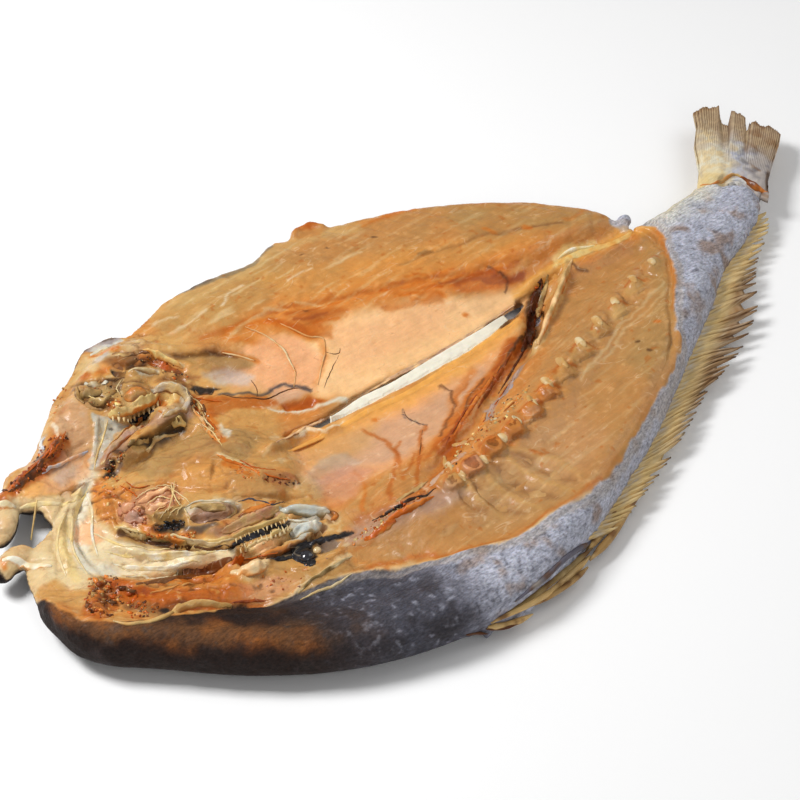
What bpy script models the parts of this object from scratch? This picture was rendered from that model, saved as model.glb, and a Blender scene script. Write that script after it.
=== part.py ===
"""Dried yellow croaker, split down the back, opened flat like a book and dried.

The fish lies skin side down with its cut side up. +X runs from the head to the tail,
+Y towards the half without the backbone, and +Z up. The origin is at the middle of the
bottom of the whole fish's box. Lengths below are in millimetres.
"""

import math

import bmesh
import bpy
import numpy as np
from mathutils import Matrix, Vector

MM = 0.001

# ---- driving sizes, mm ----
STATIONS = 210            # cross sections of the opened body along X
ROWS = 84                 # points across each section
VOXEL = 0.95              # grain at which the pieces grow together
FACES = 11200             # triangles kept in the finished solid
FLAT = 0.5                # what is pared off below this height leaves a flat spot to rest on

NEAR_RIM = 9.0            # radius of the thick rolled edge on the backbone half
FAR_RIM = 4.5             # radius of the thin edge on the other half
PEDUNCLE_RIM = 9.0        # the uncut tail stalk is nearly an ellipse
BELLY_HEIGHT = 5.2        # top of the thin belly wall beside the slit
BACK_HEIGHT = 14.0        # top of the thick back muscle
SPINE_HEIGHT = 15.5       # top of the row of vertebrae
RIM_HEIGHT = 17.5         # top of the rolled edge beside the cut flesh

# outlines seen from above: (x, y)
FAR_EDGE = [(-175, -3), (-173, 3), (-169, 17), (-163, 23), (-156, 26), (-151.5, 29), (-150.5, 50.5),
            (-141, 57.5), (-129, 68), (-123, 74.5), (-113.5, 80), (-106, 86), (-100.5, 89.7), (-90, 89.5),
            (-86, 86), (-77, 88.5), (-66, 92), (-50, 92.5), (-30, 90), (-23, 93), (-18, 94),
            (-13, 91.5), (-10, 94), (-3, 94), (2, 89), (15, 85), (25, 81.5), (41, 73), (50, 67.5),
            (58, 62.5), (66, 56.5), (75, 47.5), (82, 39.5), (86, 32), (88, 22), (100, 20.5),
            (112, 21), (120, 22.5), (130, 30.5), (138.5, 41.5), (147, 50), (152, 54.6), (156, 55.4),
            (160, 54.6), (163.3, 51), (165.3, 42), (167.7, 34), (169.7, 27.5)]
NEAR_EDGE = [(-175, -9), (-174.5, -16), (-172, -23), (-167, -30), (-160, -36.5), (-153, -43),
             (-146, -50), (-138, -57.3), (-128, -65), (-117, -72.2), (-102, -79.5), (-87, -84.4),
             (-72, -87.3), (-55, -88.2), (-40, -86), (-25, -81.2), (-8, -74.5), (12, -66), (32, -56),
             (52, -44), (72, -32), (87, -23), (102, -13), (120, -5.5), (133, 1), (137, 5), (143, 7.5),
             (152, 14.3), (162, 21.8), (169.7, 26.5)]
# height of the outermost line of the edge along x
FAR_LIFT = [(-175, 7), (-150, 9), (-100, 10), (0, 10), (80, 10), (95, 9), (125, 9.5), (150, 10.5), (172, 11)]
NEAR_LIFT = [(-175, 8), (-60, 8), (60, 8), (100, 9), (135, 9), (150, 9.5), (172, 10)]
# how far in from the edge the rounding runs
FAR_ROUND = [(-175, 6), (-150, FAR_RIM), (80, FAR_RIM), (95, PEDUNCLE_RIM), (130, PEDUNCLE_RIM),
             (143, 5), (150, 3), (172, 2)]
NEAR_ROUND = [(-175, 8), (-160, NEAR_RIM), (60, NEAR_RIM), (130, 10), (143, 5), (150, 3), (172, 2)]

# lines that run along the body: (x, y)
BELLY_LINE = [(-150, 22), (-68, 16.3), (-50, 15.5), (-35, 15.6), (-18, 14.6), (0, 14.8), (18, 16.1),
              (30, 18.4), (39, 19.5), (60, 21), (95, 18), (170, 30)]
FOLD_LINE = [(-150, 45), (-90, 66), (-75, 66), (-60, 61), (-40, 59), (-30, 56), (-10, 46), (10, 36),
             (30, 30), (42, 26), (60, 24), (95, 22), (170, 34)]
SPINE_LINE = [(-150, -33), (-100, -39), (-83, -40), (-46, -41), (-34, -38.3), (-12, -32), (9, -24.5),
              (30, -17.2), (52, -9.2), (76, -1.3), (95, 4), (170, 28)]
FIN_TIPS = [(-20, -84.5), (0, -79), (20, -71.5), (40, -62.5), (59, -53), (67, -51), (80, -46),
            (86.5, -42.3), (98, -35), (107, -25), (116.5, -16.3), (124.5, -11.5),
            (133.5, -4.5), (137, 1)]

SLIT_WIDTH = [(-76, 0.02), (-68, 2.3), (-50, 4.2), (-35, 6.6), (-18, 6.2), (0, 5.8), (18, 4.7),
              (30, 3.2), (38, 0.02)]      # the open cut through the belly: (x, width)
VERTEBRAE = 12
FIRST_VERTEBRA = -45.8
VERTEBRA_STEP = 11.1      # along x
TAIL_CUT = [(125, 14.8), (130, 17.3), (134.5, 16.2), (137, 11.5), (136.6, 4.5), (137, 0)]


def curve(points, x):
    """Smooth height of a line at x, without overshoot between its points."""
    px, py = (np.array(v, float) for v in zip(*points))
    step = np.diff(px)
    slope = np.diff(py) / step
    ends = np.zeros(len(px))
    ends[0], ends[-1] = slope[0], slope[-1]
    same = slope[:-1] * slope[1:] > 0
    mean = 2 * slope[:-1] * slope[1:] / np.where(same, slope[:-1] + slope[1:], 1)
    ends[1:-1] = np.where(same, mean, 0)
    x = np.clip(np.asarray(x, float), px[0], px[-1])
    i = np.clip(np.searchsorted(px, x, side="right") - 1, 0, len(step) - 1)
    t = (x - px[i]) / step[i]
    return (py[i] * (1 + 2 * t) * (1 - t) ** 2 + ends[i] * step[i] * t * (1 - t) ** 2
            + py[i + 1] * t * t * (3 - 2 * t) + ends[i + 1] * step[i] * t * t * (t - 1))


def step_up(value, low, high):
    t = np.clip((value - low) / np.maximum(high - low, 1e-3), 0, 1)
    return t * t * (3 - 2 * t)


def along(points, x, y):
    """Distance of each (x, y) from a line of points, and the share of the line where it is nearest."""
    points = np.array(points, float)
    best = np.full(np.shape(x), 1e9)
    share = np.zeros(np.shape(x))
    for i, (a, b) in enumerate(zip(points[:-1], points[1:])):
        d = b - a
        t = np.clip(((x - a[0]) * d[0] + (y - a[1]) * d[1]) / (d @ d), 0, 1)
        far = np.hypot(x - a[0] - t * d[0], y - a[1] - t * d[1])
        share = np.where(far < best, (i + t) / (len(points) - 1), share)
        best = np.minimum(best, far)
    return best, share


def ridge(points, width, height, x, y, taper=0.15):
    """A rounded ridge, or a groove where the height is below zero, which fades at both ends."""
    far, share = along(points, x, y)
    fade = np.clip(np.minimum(share, 1 - share) / taper, 0, 1) if taper else 1.0
    return height * np.exp(-((far / width) ** 2)) * fade


def dome(middle, reach, turn, height, x, y, power=0.5):
    """A low oval dome: middle, half lengths and the turn of its long side in degrees."""
    c, s = math.cos(math.radians(turn)), math.sin(math.radians(turn))
    u = ((x - middle[0]) * c + (y - middle[1]) * s) / reach[0]
    v = (-(x - middle[0]) * s + (y - middle[1]) * c) / reach[1]
    return height * np.clip(1 - u * u - v * v, 0, 1) ** power


RIDGES = [  # points, width, height
    ([(94, 18), (83, 18.6), (71, 19.3), (62, 21.5), (54, 22), (44, 20.5), (34, 19)], 3.6, 2.5),  # vent fat
    ([(59, 22), (49, 14.8), (38, 7), (27, -0.5), (18, -6)], 2.0, 3.0),    # rod beside the kidney
    ([(-157, -21), (-138, -36), (-114, -49), (-88, -57), (-66, -66), (-36, -72)], 2.4, 1.4),  # lip of skin
    ([(80, 22), (89, 12), (89, 3), (82, -8), (73, -21), (63, -33), (53, -39)], 1.6, 1.0),     # edge of skin
    ([(-153, 51), (-142, 50), (-129, 63), (-119, 71)], 5.0, 3.0),         # crust along the far jaw
    ([(-126, 37), (-108, 42), (-94, 46), (-87, 54), (-93, 61)], 3.6, 4.5),  # far lower jaw
    ([(-113, 57), (-103, 57.5), (-93, 60)], 3.4, 4.0),                    # far tooth row
    ([(-88, 79), (-79, 69), (-64, 58)], 3.0, 2.5),                        # far shoulder bone
    ([(-139, 8), (-133, -5), (-119, -14.5), (-100, -19), (-84, -23)], 2.6, 3.0),  # rim of the palate
    ([(-115, -26), (-102, -27), (-86, -28)], 3.6, 4.0),                   # near lower jaw
    ([(-100, -36), (-85, -37), (-66, -40), (-50, -41)], 3.5, 1.6),        # red band before the spine
    ([(-168, -9), (-158, -8), (-148, -14), (-132, -26), (-115, -34)], 8.0, 3.0),  # cheek muscle
]
GROOVES = [
    ([(53, 18.6), (42, 16), (34, 10.5), (25, 1.7), (13, -5), (1, -11), (-13, -18), (-27, -24.5),
      (-45, -31), (-60, -33)], 2.8, -4.0),                                # kidney
    ([(-128, 33), (-108, 36), (-90, 37)], 2.4, -5.0),                     # above the brain case
    ([(-137, 3), (-129, -11), (-117, -20)], 3.0, -4.5),                   # below the palate
    ([(-115, -20.5), (-104, -22), (-92, -24)], 1.8, -6.0),                # gape of the near half
    ([(-112, 51), (-103, 50), (-95, 54)], 2.2, -5.0),                     # gape of the far half
    ([(-152, 10), (-146, 22), (-136, 36), (-122, 52)], 6.0, -2.5),        # throat skin
    ([(-146, 6), (-134, -10), (-118, -24)], 5.0, -3.5),                   # throat skin, near side
]


def vertebrae(x, y):
    """The row of bumps down the backbone half, one for each vertebra, smaller towards the tail."""
    total = np.zeros(np.shape(x))
    for i in range(VERTEBRAE):
        at = FIRST_VERTEBRA + i * VERTEBRA_STEP
        size = 6.2 - 0.16 * i
        bump = dome((at, curve(SPINE_LINE, at)), (size, size * 0.66), 62, 3.2 - 0.12 * i, x, y, 0.8)
        total = np.maximum(total, bump)
    return total


def cut_face(x, y):
    """Height of the cut side of the opened fish, before its edges are rounded off."""
    belly, fold, spine = (curve(line, x) for line in (BELLY_LINE, FOLD_LINE, SPINE_LINE))
    far, near = curve(FAR_EDGE, x), curve(NEAR_EDGE, x)
    far_side = BELLY_HEIGHT + (BACK_HEIGHT - 1.5 - BELLY_HEIGHT) * step_up(y, belly + 2, fold + 9)
    far_side += 1.2 * step_up(y, fold, fold + 12) - 2.0 * step_up(y, far - 22, far)
    near_side = BELLY_HEIGHT + (SPINE_HEIGHT - BELLY_HEIGHT) * step_up(-y, -belly + 3, -spine + 1) ** 1.6
    near_side -= 2.4 * step_up(-y, -spine + 3, -spine + 18)
    near_side += (RIM_HEIGHT - SPINE_HEIGHT + 2.4) * step_up(-y, -near - 30, -near - 8)
    body = np.where(y > belly, far_side, near_side)
    head = 8.5 - 0.5 * step_up(y, 0, 60) + (RIM_HEIGHT - 8.5) * step_up(-y, -near - 34, -near - 9)
    head += 3.0 * step_up(y, far - 40, far - 12) - 1.5 * step_up(y, far - 12, far)
    head += dome((-105, 13), (34, 23), -14, 6.0, x, y, 0.5)       # brain case under the roof of the mouth
    head += dome((-104, -4), (32, 15), -14, 3.0, x, y, 0.7)       # cheek folded in over the near jaw
    head += dome((-92, 20), (17, 11), 10, 1.6, x, y, 1.0)
    head += dome((-104, 68), (24, 12), 33, 4.5, x, y, 0.6)        # far half of the head
    body = body + (head - body) * step_up(-x, 56, 82)
    for points, width, height in RIDGES + GROOVES:
        body = body + ridge(points, width, height, x, y)
    body = body + vertebrae(x, y)
    stalk = 15.0 - 2.5 * step_up(x, 125, 150)
    body = body + (stalk - body) * step_up(x, 84, 100)
    body = body + ridge(TAIL_CUT, 1.5, -4.0, x, y, 0.1)
    tail = curve(NEAR_LIFT, x) + 1.1 + 0.35 * np.cos(2 * math.pi * (y - 0.55 * x) / 2.6)
    return body + (tail - body) * step_up(x, 140, 158)


def skin_face(x, y):
    """Height of the skin under the fish."""
    far, near = curve(FAR_EDGE, x), curve(NEAR_EDGE, x)
    rise = 5.5 * step_up(y, far - 26, far + 4) + 2.5 * step_up(-y, -near - 24, -near + 3) + 0.4
    rise = rise + 1.6 * np.exp(-(((y - curve(BELLY_LINE, x)) / 8.0) ** 2)) * step_up(-x, -60, -30)
    fin = curve(NEAR_LIFT, x) - 1.1
    return rise + (fin - rise) * step_up(x, 138, 154)


def outline():
    """The closed edge of the opened fish as points with a lift and a rounding each."""
    xs = np.linspace(FAR_EDGE[0][0], FAR_EDGE[-1][0], 520)
    rows = []
    sides = ((FAR_EDGE, FAR_LIFT, FAR_ROUND, 1), (NEAR_EDGE, NEAR_LIFT, NEAR_ROUND, -1))
    for edge, lift, rounding, order in sides:
        rows.append(np.stack([xs, curve(edge, xs), curve(lift, xs), curve(rounding, xs)], 1)[::order])
    return np.concatenate(rows + [rows[0][:1]])


def heights(x, y):
    """Top and underside of the opened fish at (x, y), which meet at its outline."""
    edge = outline()
    best = np.full(x.shape, 1e9)
    lift = np.zeros(x.shape)
    rounding = np.ones(x.shape)
    for a, b in zip(edge[:-1], edge[1:]):
        d = b[:2] - a[:2]
        t = np.clip(((x - a[0]) * d[0] + (y - a[1]) * d[1]) / max(d @ d, 1e-9), 0, 1)
        far = np.hypot(x - a[0] - t * d[0], y - a[1] - t * d[1])
        near = far < best
        lift = np.where(near, a[2] + t * (b[2] - a[2]), lift)
        rounding = np.where(near, a[3] + t * (b[3] - a[3]), rounding)
        best = np.where(near, far, best)
    share = np.clip(best / rounding, 0, 1)
    bulge = np.sqrt(1 - (1 - share) ** 2)
    return lift + (cut_face(x, y) - lift) * bulge, lift - (lift - skin_face(x, y)) * bulge


def body_mesh():
    """The opened body from the jaw to the tail fin as one closed sheet with a top and an underside."""
    along_body = np.linspace(0, 1, STATIONS + 1)
    first, last = FAR_EDGE[0][0], FAR_EDGE[-1][0]
    x = first + (last - first) * (along_body - 0.35 * np.sin(2 * math.pi * along_body) / (2 * math.pi))
    across = (1 - np.cos(math.pi * np.linspace(0, 1, ROWS + 1))) / 2
    across = 0.65 * across + 0.35 * np.linspace(0, 1, ROWS + 1)
    gx = np.repeat(x[:, None], ROWS + 1, 1)
    low, high = curve(NEAR_EDGE, gx), curve(FAR_EDGE, gx)
    gy = low + (high - low) * across[None, :]
    top, under = heights(gx, gy)
    rim = np.ones(gx.shape, bool)
    rim[1:-1, 1:-1] = False
    top[rim] = under[rim] = (top[rim] + under[rim]) / 2
    bm = bmesh.new()
    for z in (top, under):
        before = len(bm.verts)
        bmesh.ops.create_grid(bm, x_segments=STATIONS, y_segments=ROWS, size=1.0)
        bm.verts.ensure_lookup_table()
        side = bm.verts[before:]
        order = sorted(side, key=lambda v: (round(v.co.x, 6), round(v.co.y, 6)))
        for vert, px, py, pz in zip(order, gx.ravel(), gy.ravel(), z.ravel()):
            vert.co = Vector((px, py, pz)) * MM
    bmesh.ops.remove_doubles(bm, verts=bm.verts, dist=1e-6)
    bmesh.ops.recalc_face_normals(bm, faces=bm.faces)
    return bm


def new_object(name, bm):
    mesh = bpy.data.meshes.new(name)
    bm.to_mesh(mesh)
    bm.free()
    obj = bpy.data.objects.new(name, mesh)
    bpy.context.scene.collection.objects.link(obj)
    return obj


def blob(bm, middle, reach, turn=0.0):
    """An ellipsoid: middle, half sizes along its own axes, and its turn about Z in degrees."""
    place = (Matrix.Translation(Vector(middle) * MM) @ Matrix.Rotation(math.radians(turn), 4, "Z")
             @ Matrix.Diagonal((*(r * MM for r in reach), 1)))
    bmesh.ops.create_icosphere(bm, subdivisions=3, radius=1.0, matrix=place)


def spike(bm, foot, tip, radius, end=0.25):
    """A cone from foot to tip, such as a tooth."""
    foot, tip = Vector(foot) * MM, Vector(tip) * MM
    axis = tip - foot
    turn = axis.to_track_quat("Z", "Y").to_matrix().to_4x4()
    place = Matrix.Translation((foot + tip) / 2) @ turn
    bmesh.ops.create_cone(bm, cap_ends=True, segments=8, radius1=radius * MM, radius2=radius * end * MM,
                          depth=axis.length, matrix=place)


def blade(bm, foot, tip, width, thick):
    """One fin ray: a flat tapered blade lying level from foot to tip."""
    foot, tip = Vector(foot), Vector(tip)
    run = tip - foot
    side = Vector((-run.y, run.x, 0)).normalized()
    rings = []
    for share, half in ((0, width * 0.5), (0.6, width * 0.42), (1, width * 0.2)):
        corners = [foot + run * share + side * sy * half + Vector((0, 0, sz * thick / 2))
                   for sy, sz in ((-1, -1), (1, -1), (1, 1), (-1, 1))]
        rings.append([bm.verts.new(c * MM) for c in corners])
    for a, b in zip(rings[:-1], rings[1:]):
        for j in range(4):
            bm.faces.new([a[j], a[(j + 1) % 4], b[(j + 1) % 4], b[j]])
    bm.faces.new(rings[0][::-1])
    bm.faces.new(rings[-1])


def fin_rays(bm):
    """The fin along the back: a swept fan of rays, and its front spines folded flat along the edge."""
    rng = np.random.default_rng(7)
    for x in np.arange(-20.0, 125.0, 2.6):
        reach = float(curve([(-20, 14), (0, 20), (30, 24), (80, 24), (100, 17), (125, 10)], x))
        reach *= 0.88 + 0.16 * rng.random()
        tip = min(x + reach, FIN_TIPS[-1][0])
        z = 6.6 + 0.9 * rng.random()
        foot = (x - 2, float(curve(NEAR_EDGE, x - 2)) + 3.5, z)
        blade(bm, foot, (tip, float(curve(FIN_TIPS, tip)) + 1.5 * rng.random(), z - 1.5), 4.0, 1.7)
    for i in range(6):
        x = -74.0 + 9.0 * i
        foot = (x, float(curve(NEAR_EDGE, x)) + 3.0, 5.0)
        blade(bm, foot, (x + 34, float(curve(NEAR_EDGE, x + 14)) - 2.5 + 0.5 * i, 5.0), 4.0, 2.4)
    blade(bm, (138.5, 9.5, 9.5), (143.5, 4.0, 9.0), 3.0, 1.7)
    blade(bm, (-59, -82.5, 4.0), (-69.5, -88.0, 2.5), 4.0, 1.9)
    blade(bm, (-45, -83.0, 4.0), (-57.0, -89.5, 2.5), 5.0, 1.9)


def jaw_knobs(bm):
    """Bare bone ends at the tip of the split jaw, two arms with a gap between them."""
    blob(bm, (-149, 46, 8.0), (9, 10, 5), -20)
    blob(bm, (-158.5, 45.0, 8.5), (5, 4, 4.5), 30)
    blob(bm, (-163.5, 37.5, 8.0), (9, 4.0, 4), 45)
    blob(bm, (-168.5, 23.5, 8.0), (6.5, 4.5, 4), 10)
    blob(bm, (-174.0, 22.0, 7.5), (4.0, 4.0, 3.2), 0)
    blob(bm, (89.5, 26.5, 9.0), (3.6, 2.8, 2.2), 20)


def teeth(bm):
    """Conical teeth along both halves of the mouth."""
    for i in range(7):
        share = i / 6
        x = -111 + 16 * share
        spike(bm, (x, -18.5 - 3.0 * share, 12.5), (x - 0.4, -21.0 - 3.0 * share, 12.0), 0.95)
        spike(bm, (x + 1.2, -25.2 - 2.0 * share, 11.5), (x + 0.8, -22.4 - 2.4 * share, 12.0), 0.95)
        spike(bm, (-112 + 13 * share, 55.5 + 2.0 * share, 12.8),
              (-111 + 13 * share, 52.0 + 2.6 * share, 11.5), 1.0)


def slit_cutter():
    """A lens-shaped prism along the belly line that opens the cut right through."""
    bm = bmesh.new()
    xs = np.linspace(SLIT_WIDTH[0][0], SLIT_WIDTH[-1][0], 48)
    half = curve(SLIT_WIDTH, xs) / 2
    line = curve(BELLY_LINE, xs)
    edge = list(zip(xs, line + half)) + list(zip(xs, line - half))[::-1]
    face = bm.faces.new([bm.verts.new(Vector((px, py, -5)) * MM) for px, py in edge])
    bmesh.ops.recalc_face_normals(bm, faces=[face])
    made = bmesh.ops.extrude_face_region(bm, geom=[face])
    lifted = [v for v in made["geom"] if isinstance(v, bmesh.types.BMVert)]
    bmesh.ops.translate(bm, verts=lifted, vec=(0, 0, 30 * MM))
    bmesh.ops.recalc_face_normals(bm, faces=bm.faces)
    return new_object("slit_cutter", bm)


def tail_cutter():
    """Two torn notches in the end of the tail fin, as wedges."""
    bm = bmesh.new()
    for middle, turn, size in (((161.5, 49), 43.6, (11, 2.8)), ((164.5, 39.5), 35, (8, 1.8))):
        place = (Matrix.Translation(Vector((*middle, 12)) * MM) @ Matrix.Rotation(math.radians(turn), 4, "Z")
                 @ Matrix.Diagonal((size[0] * MM, size[1] * MM, 20 * MM, 1)))
        bmesh.ops.create_cube(bm, size=1.0, matrix=place)
    return new_object("tail_cutter", bm)


def floor_cutter():
    """A slab whose top pares the lowest skin flat, so that the fish rests steadily."""
    bm = bmesh.new()
    depth = 10.0
    place = Matrix.Translation((0, 0, (FLAT - depth / 2) * MM)) @ Matrix.Diagonal((0.5, 0.3, depth * MM, 1))
    bmesh.ops.create_cube(bm, size=1.0, matrix=place)
    return new_object("floor_cutter", bm)


def cut_away(obj, cutter):
    """Takes the cutter's shape out of the object."""
    cutter.hide_render = True
    cutter.display_type = "WIRE"
    boolean = obj.modifiers.new("cut", "BOOLEAN")
    boolean.operation = "DIFFERENCE"
    boolean.object = cutter


def apply_modifiers(obj):
    graph = bpy.context.evaluated_depsgraph_get()
    mesh = bpy.data.meshes.new_from_object(obj.evaluated_get(graph))
    obj.modifiers.clear()
    obj.data = mesh


def grow_together(obj):
    """The overlapping pieces become one skin, which is then thinned to few triangles."""
    remesh = obj.modifiers.new("one_skin", "REMESH")
    remesh.mode = "VOXEL"
    remesh.voxel_size = VOXEL * MM
    apply_modifiers(obj)
    drop_scraps(obj)
    thin = obj.modifiers.new("few_faces", "DECIMATE")
    thin.ratio = FACES / sum(len(p.vertices) - 2 for p in obj.data.polygons)
    apply_modifiers(obj)


def drop_scraps(obj):
    """Keeps only the largest connected piece."""
    bm = bmesh.new()
    bm.from_mesh(obj.data)
    left = set(bm.verts)
    groups = []
    while left:
        group, edge = set(), [left.pop()]
        while edge:
            vert = edge.pop()
            group.add(vert)
            for e in vert.link_edges:
                other = e.other_vert(vert)
                if other in left:
                    left.discard(other)
                    edge.append(other)
        groups.append(group)
    groups.sort(key=len)
    for group in groups[:-1]:
        bmesh.ops.delete(bm, geom=list(group), context="VERTS")
    bm.to_mesh(obj.data)
    bm.free()


def set_origin(obj):
    """Moves the mesh so that the middle of its box's bottom is the origin."""
    points = np.array([v.co for v in obj.data.vertices])
    low, high = points.min(0), points.max(0)
    shift = Vector((-(low[0] + high[0]) / 2, -(low[1] + high[1]) / 2, -low[2]))
    obj.data.transform(Matrix.Translation(shift))
    print("moved by, mm:", [round(v / MM, 3) for v in shift])


def material(name, colour, roughness):
    made = bpy.data.materials.new(name)
    made.use_nodes = True
    shader = made.node_tree.nodes["Principled BSDF"]
    shader.inputs["Base Color"].default_value = (*colour, 1)
    shader.inputs["Roughness"].default_value = roughness
    shader.inputs["Metallic"].default_value = 0.0
    return made


def main():
    for old in list(bpy.data.objects):
        bpy.data.objects.remove(old)
    bm = body_mesh()
    fish = new_object("croaker", bm)
    cut_away(fish, slit_cutter())
    cut_away(fish, tail_cutter())
    apply_modifiers(fish)
    bm = bmesh.new()
    bm.from_mesh(fish.data)
    jaw_knobs(bm)
    teeth(bm)
    fin_rays(bm)
    bmesh.ops.recalc_face_normals(bm, faces=bm.faces)
    bm.to_mesh(fish.data)
    bm.free()
    grow_together(fish)
    cut_away(fish, floor_cutter())
    apply_modifiers(fish)
    for cutter in list(bpy.data.objects):
        if cutter != fish:
            bpy.data.objects.remove(cutter)
    set_origin(fish)
    fish.data.materials.append(material("dried_flesh", (0.74, 0.42, 0.17), 0.45))


main()
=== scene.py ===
# Yellow croaker, split down the back, opened flat and dried: its looks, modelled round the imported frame.
# Lengths are in millimetres in the fish's own drawing frame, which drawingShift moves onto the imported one.
# A place on the fish is given as the camera sees it, across and down a frame of 800 by 800. onFish() finds it.
import math

import bmesh
import bpy
import numpy as np
from mathutils import Matrix, Vector
from mathutils.bvhtree import BVHTree


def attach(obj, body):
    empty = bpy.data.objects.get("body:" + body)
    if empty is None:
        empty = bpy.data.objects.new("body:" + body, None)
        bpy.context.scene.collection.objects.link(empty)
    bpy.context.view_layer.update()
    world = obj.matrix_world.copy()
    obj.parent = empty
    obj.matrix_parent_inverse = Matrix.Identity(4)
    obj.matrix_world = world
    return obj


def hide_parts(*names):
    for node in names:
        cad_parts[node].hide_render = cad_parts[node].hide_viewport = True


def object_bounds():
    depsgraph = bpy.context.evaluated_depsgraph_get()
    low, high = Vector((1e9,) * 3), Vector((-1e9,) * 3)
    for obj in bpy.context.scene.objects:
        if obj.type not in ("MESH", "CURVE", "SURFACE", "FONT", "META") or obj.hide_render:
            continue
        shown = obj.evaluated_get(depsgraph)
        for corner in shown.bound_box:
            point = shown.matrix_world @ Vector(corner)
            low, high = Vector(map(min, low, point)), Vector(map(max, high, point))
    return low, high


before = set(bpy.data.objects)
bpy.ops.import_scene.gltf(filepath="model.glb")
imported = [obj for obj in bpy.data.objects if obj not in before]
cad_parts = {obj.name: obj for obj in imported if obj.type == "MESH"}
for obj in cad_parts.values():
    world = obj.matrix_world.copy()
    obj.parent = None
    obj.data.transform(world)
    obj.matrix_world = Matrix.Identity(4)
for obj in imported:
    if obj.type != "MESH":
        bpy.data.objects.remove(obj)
cadBox = [list(corner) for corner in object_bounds()]
mm = 0.001
drawingShift = Vector((4.271, -1.263, -0.5))

cameraSet = {
    "turn": 38.0,            # degrees between the view and +Y
    "down": 45.0,
    "distance": 779.0,
    "target": (-30.0, 5.0, 8.2),
    "lens": 104.85,
    "sensor": 36.0,
    "frame": 800,            # width and height of the camera's frame, for the places on the fish
}


def viewAxes():
    turn = math.radians(cameraSet["turn"])
    down = math.radians(cameraSet["down"])
    ahead = Vector((math.sin(turn) * math.cos(down), math.cos(turn) * math.cos(down), -math.sin(down)))
    right = Vector((math.cos(turn), -math.sin(turn), 0))
    return ahead, right, right.cross(ahead)


def eyePoint():
    return Vector(cameraSet["target"]) - viewAxes()[0] * cameraSet["distance"]


def rayThrough(px, py):
    # the direction in which the camera sees that place
    ahead, right, above = viewAxes()
    half = cameraSet["frame"] / 2
    spread = cameraSet["frame"] * cameraSet["lens"] / cameraSet["sensor"]
    return ahead + right * ((px - half) / spread) + above * ((half - py) / spread)


def atHeight(px, py, z):
    # the point at that height which the camera sees at that place
    ray = rayThrough(px, py)
    return eyePoint() + ray * ((z - eyePoint().z) / ray.z)


def makeCamera():
    data = bpy.data.cameras.new("camera")
    data.lens = cameraSet["lens"]
    data.sensor_width = cameraSet["sensor"]
    data.clip_start = 0.01
    data.clip_end = 20.0
    camera = bpy.data.objects.new("camera", data)
    bpy.context.scene.collection.objects.link(camera)
    camera.location = (eyePoint() + drawingShift) * mm
    camera.rotation_mode = "QUATERNION"
    camera.rotation_quaternion = viewAxes()[0].to_track_quat("-Z", "Y")
    bpy.context.scene.camera = camera


lightSet = {
    "world": 0.235,
    "key": {"at": (-380, 330, 620), "size": 260, "watts": 5.3},       # from the far left, high
    "fill": {"at": (480, -120, 560), "size": 520, "watts": 1.0},
    "front": {"at": (-150, -620, 420), "size": 520, "watts": 0.8},
}


def makeLights():
    world = bpy.data.worlds.new("studio")
    world.use_nodes = True
    world.node_tree.nodes["Background"].inputs["Color"].default_value = (1, 1, 1, 1)
    world.node_tree.nodes["Background"].inputs["Strength"].default_value = lightSet["world"]
    bpy.context.scene.world = world
    for name in ("key", "fill", "front"):
        values = lightSet[name]
        data = bpy.data.lights.new(name, "AREA")
        data.energy = values["watts"]
        data.size = values["size"] * mm
        lamp = bpy.data.objects.new(name, data)
        bpy.context.scene.collection.objects.link(lamp)
        lamp.location = Vector(values["at"]) * mm
        lamp.rotation_mode = "QUATERNION"
        lamp.rotation_quaternion = (-Vector(values["at"])).to_track_quat("-Z", "Y")


def newObject(name, bm):
    mesh = bpy.data.meshes.new(name)
    bm.to_mesh(mesh)
    bm.free()
    made = bpy.data.objects.new(name, mesh)
    bpy.context.scene.collection.objects.link(made)
    return made


def inOrder(verts):
    # a grid's vertices column by column
    return sorted(verts, key=lambda vert: (round(vert.co.x, 5), round(vert.co.y, 5)))


def setDown(bm):
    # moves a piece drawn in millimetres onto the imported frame
    bmesh.ops.translate(bm, verts=bm.verts, vec=drawingShift)
    bmesh.ops.scale(bm, verts=bm.verts, vec=(mm, mm, mm))


def applyModifiers(made):
    graph = bpy.context.evaluated_depsgraph_get()
    mesh = bpy.data.meshes.new_from_object(made.evaluated_get(graph))
    made.modifiers.clear()
    made.data = mesh


boxSet = {"margin": 0.00004, "floorGap": 0.00002}      # metres


def keepInBox(made):
    for vert in made.data.vertices:
        for axis in range(3):
            low = cadBox[0][axis] + boxSet["margin"] if axis < 2 else boxSet["floorGap"]
            vert.co[axis] = min(max(vert.co[axis], low), cadBox[1][axis] - boxSet["margin"])


def giveWall(made, thickness, offset=-1.0):
    wall = made.modifiers.new("wall", "SOLIDIFY")
    wall.thickness = thickness * mm
    wall.offset = offset
    applyModifiers(made)


def faceUp(bm):
    # a sheet's faces all point up
    bmesh.ops.recalc_face_normals(bm, faces=bm.faces)
    if sum(face.normal.z for face in bm.faces) < 0:
        bmesh.ops.reverse_faces(bm, faces=bm.faces)


def finishPiece(made, material):
    keepInBox(made)
    made.data.shade_smooth()
    made.data.materials.clear()
    made.data.materials.append(material)
    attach(made, "root")
    return made


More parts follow.
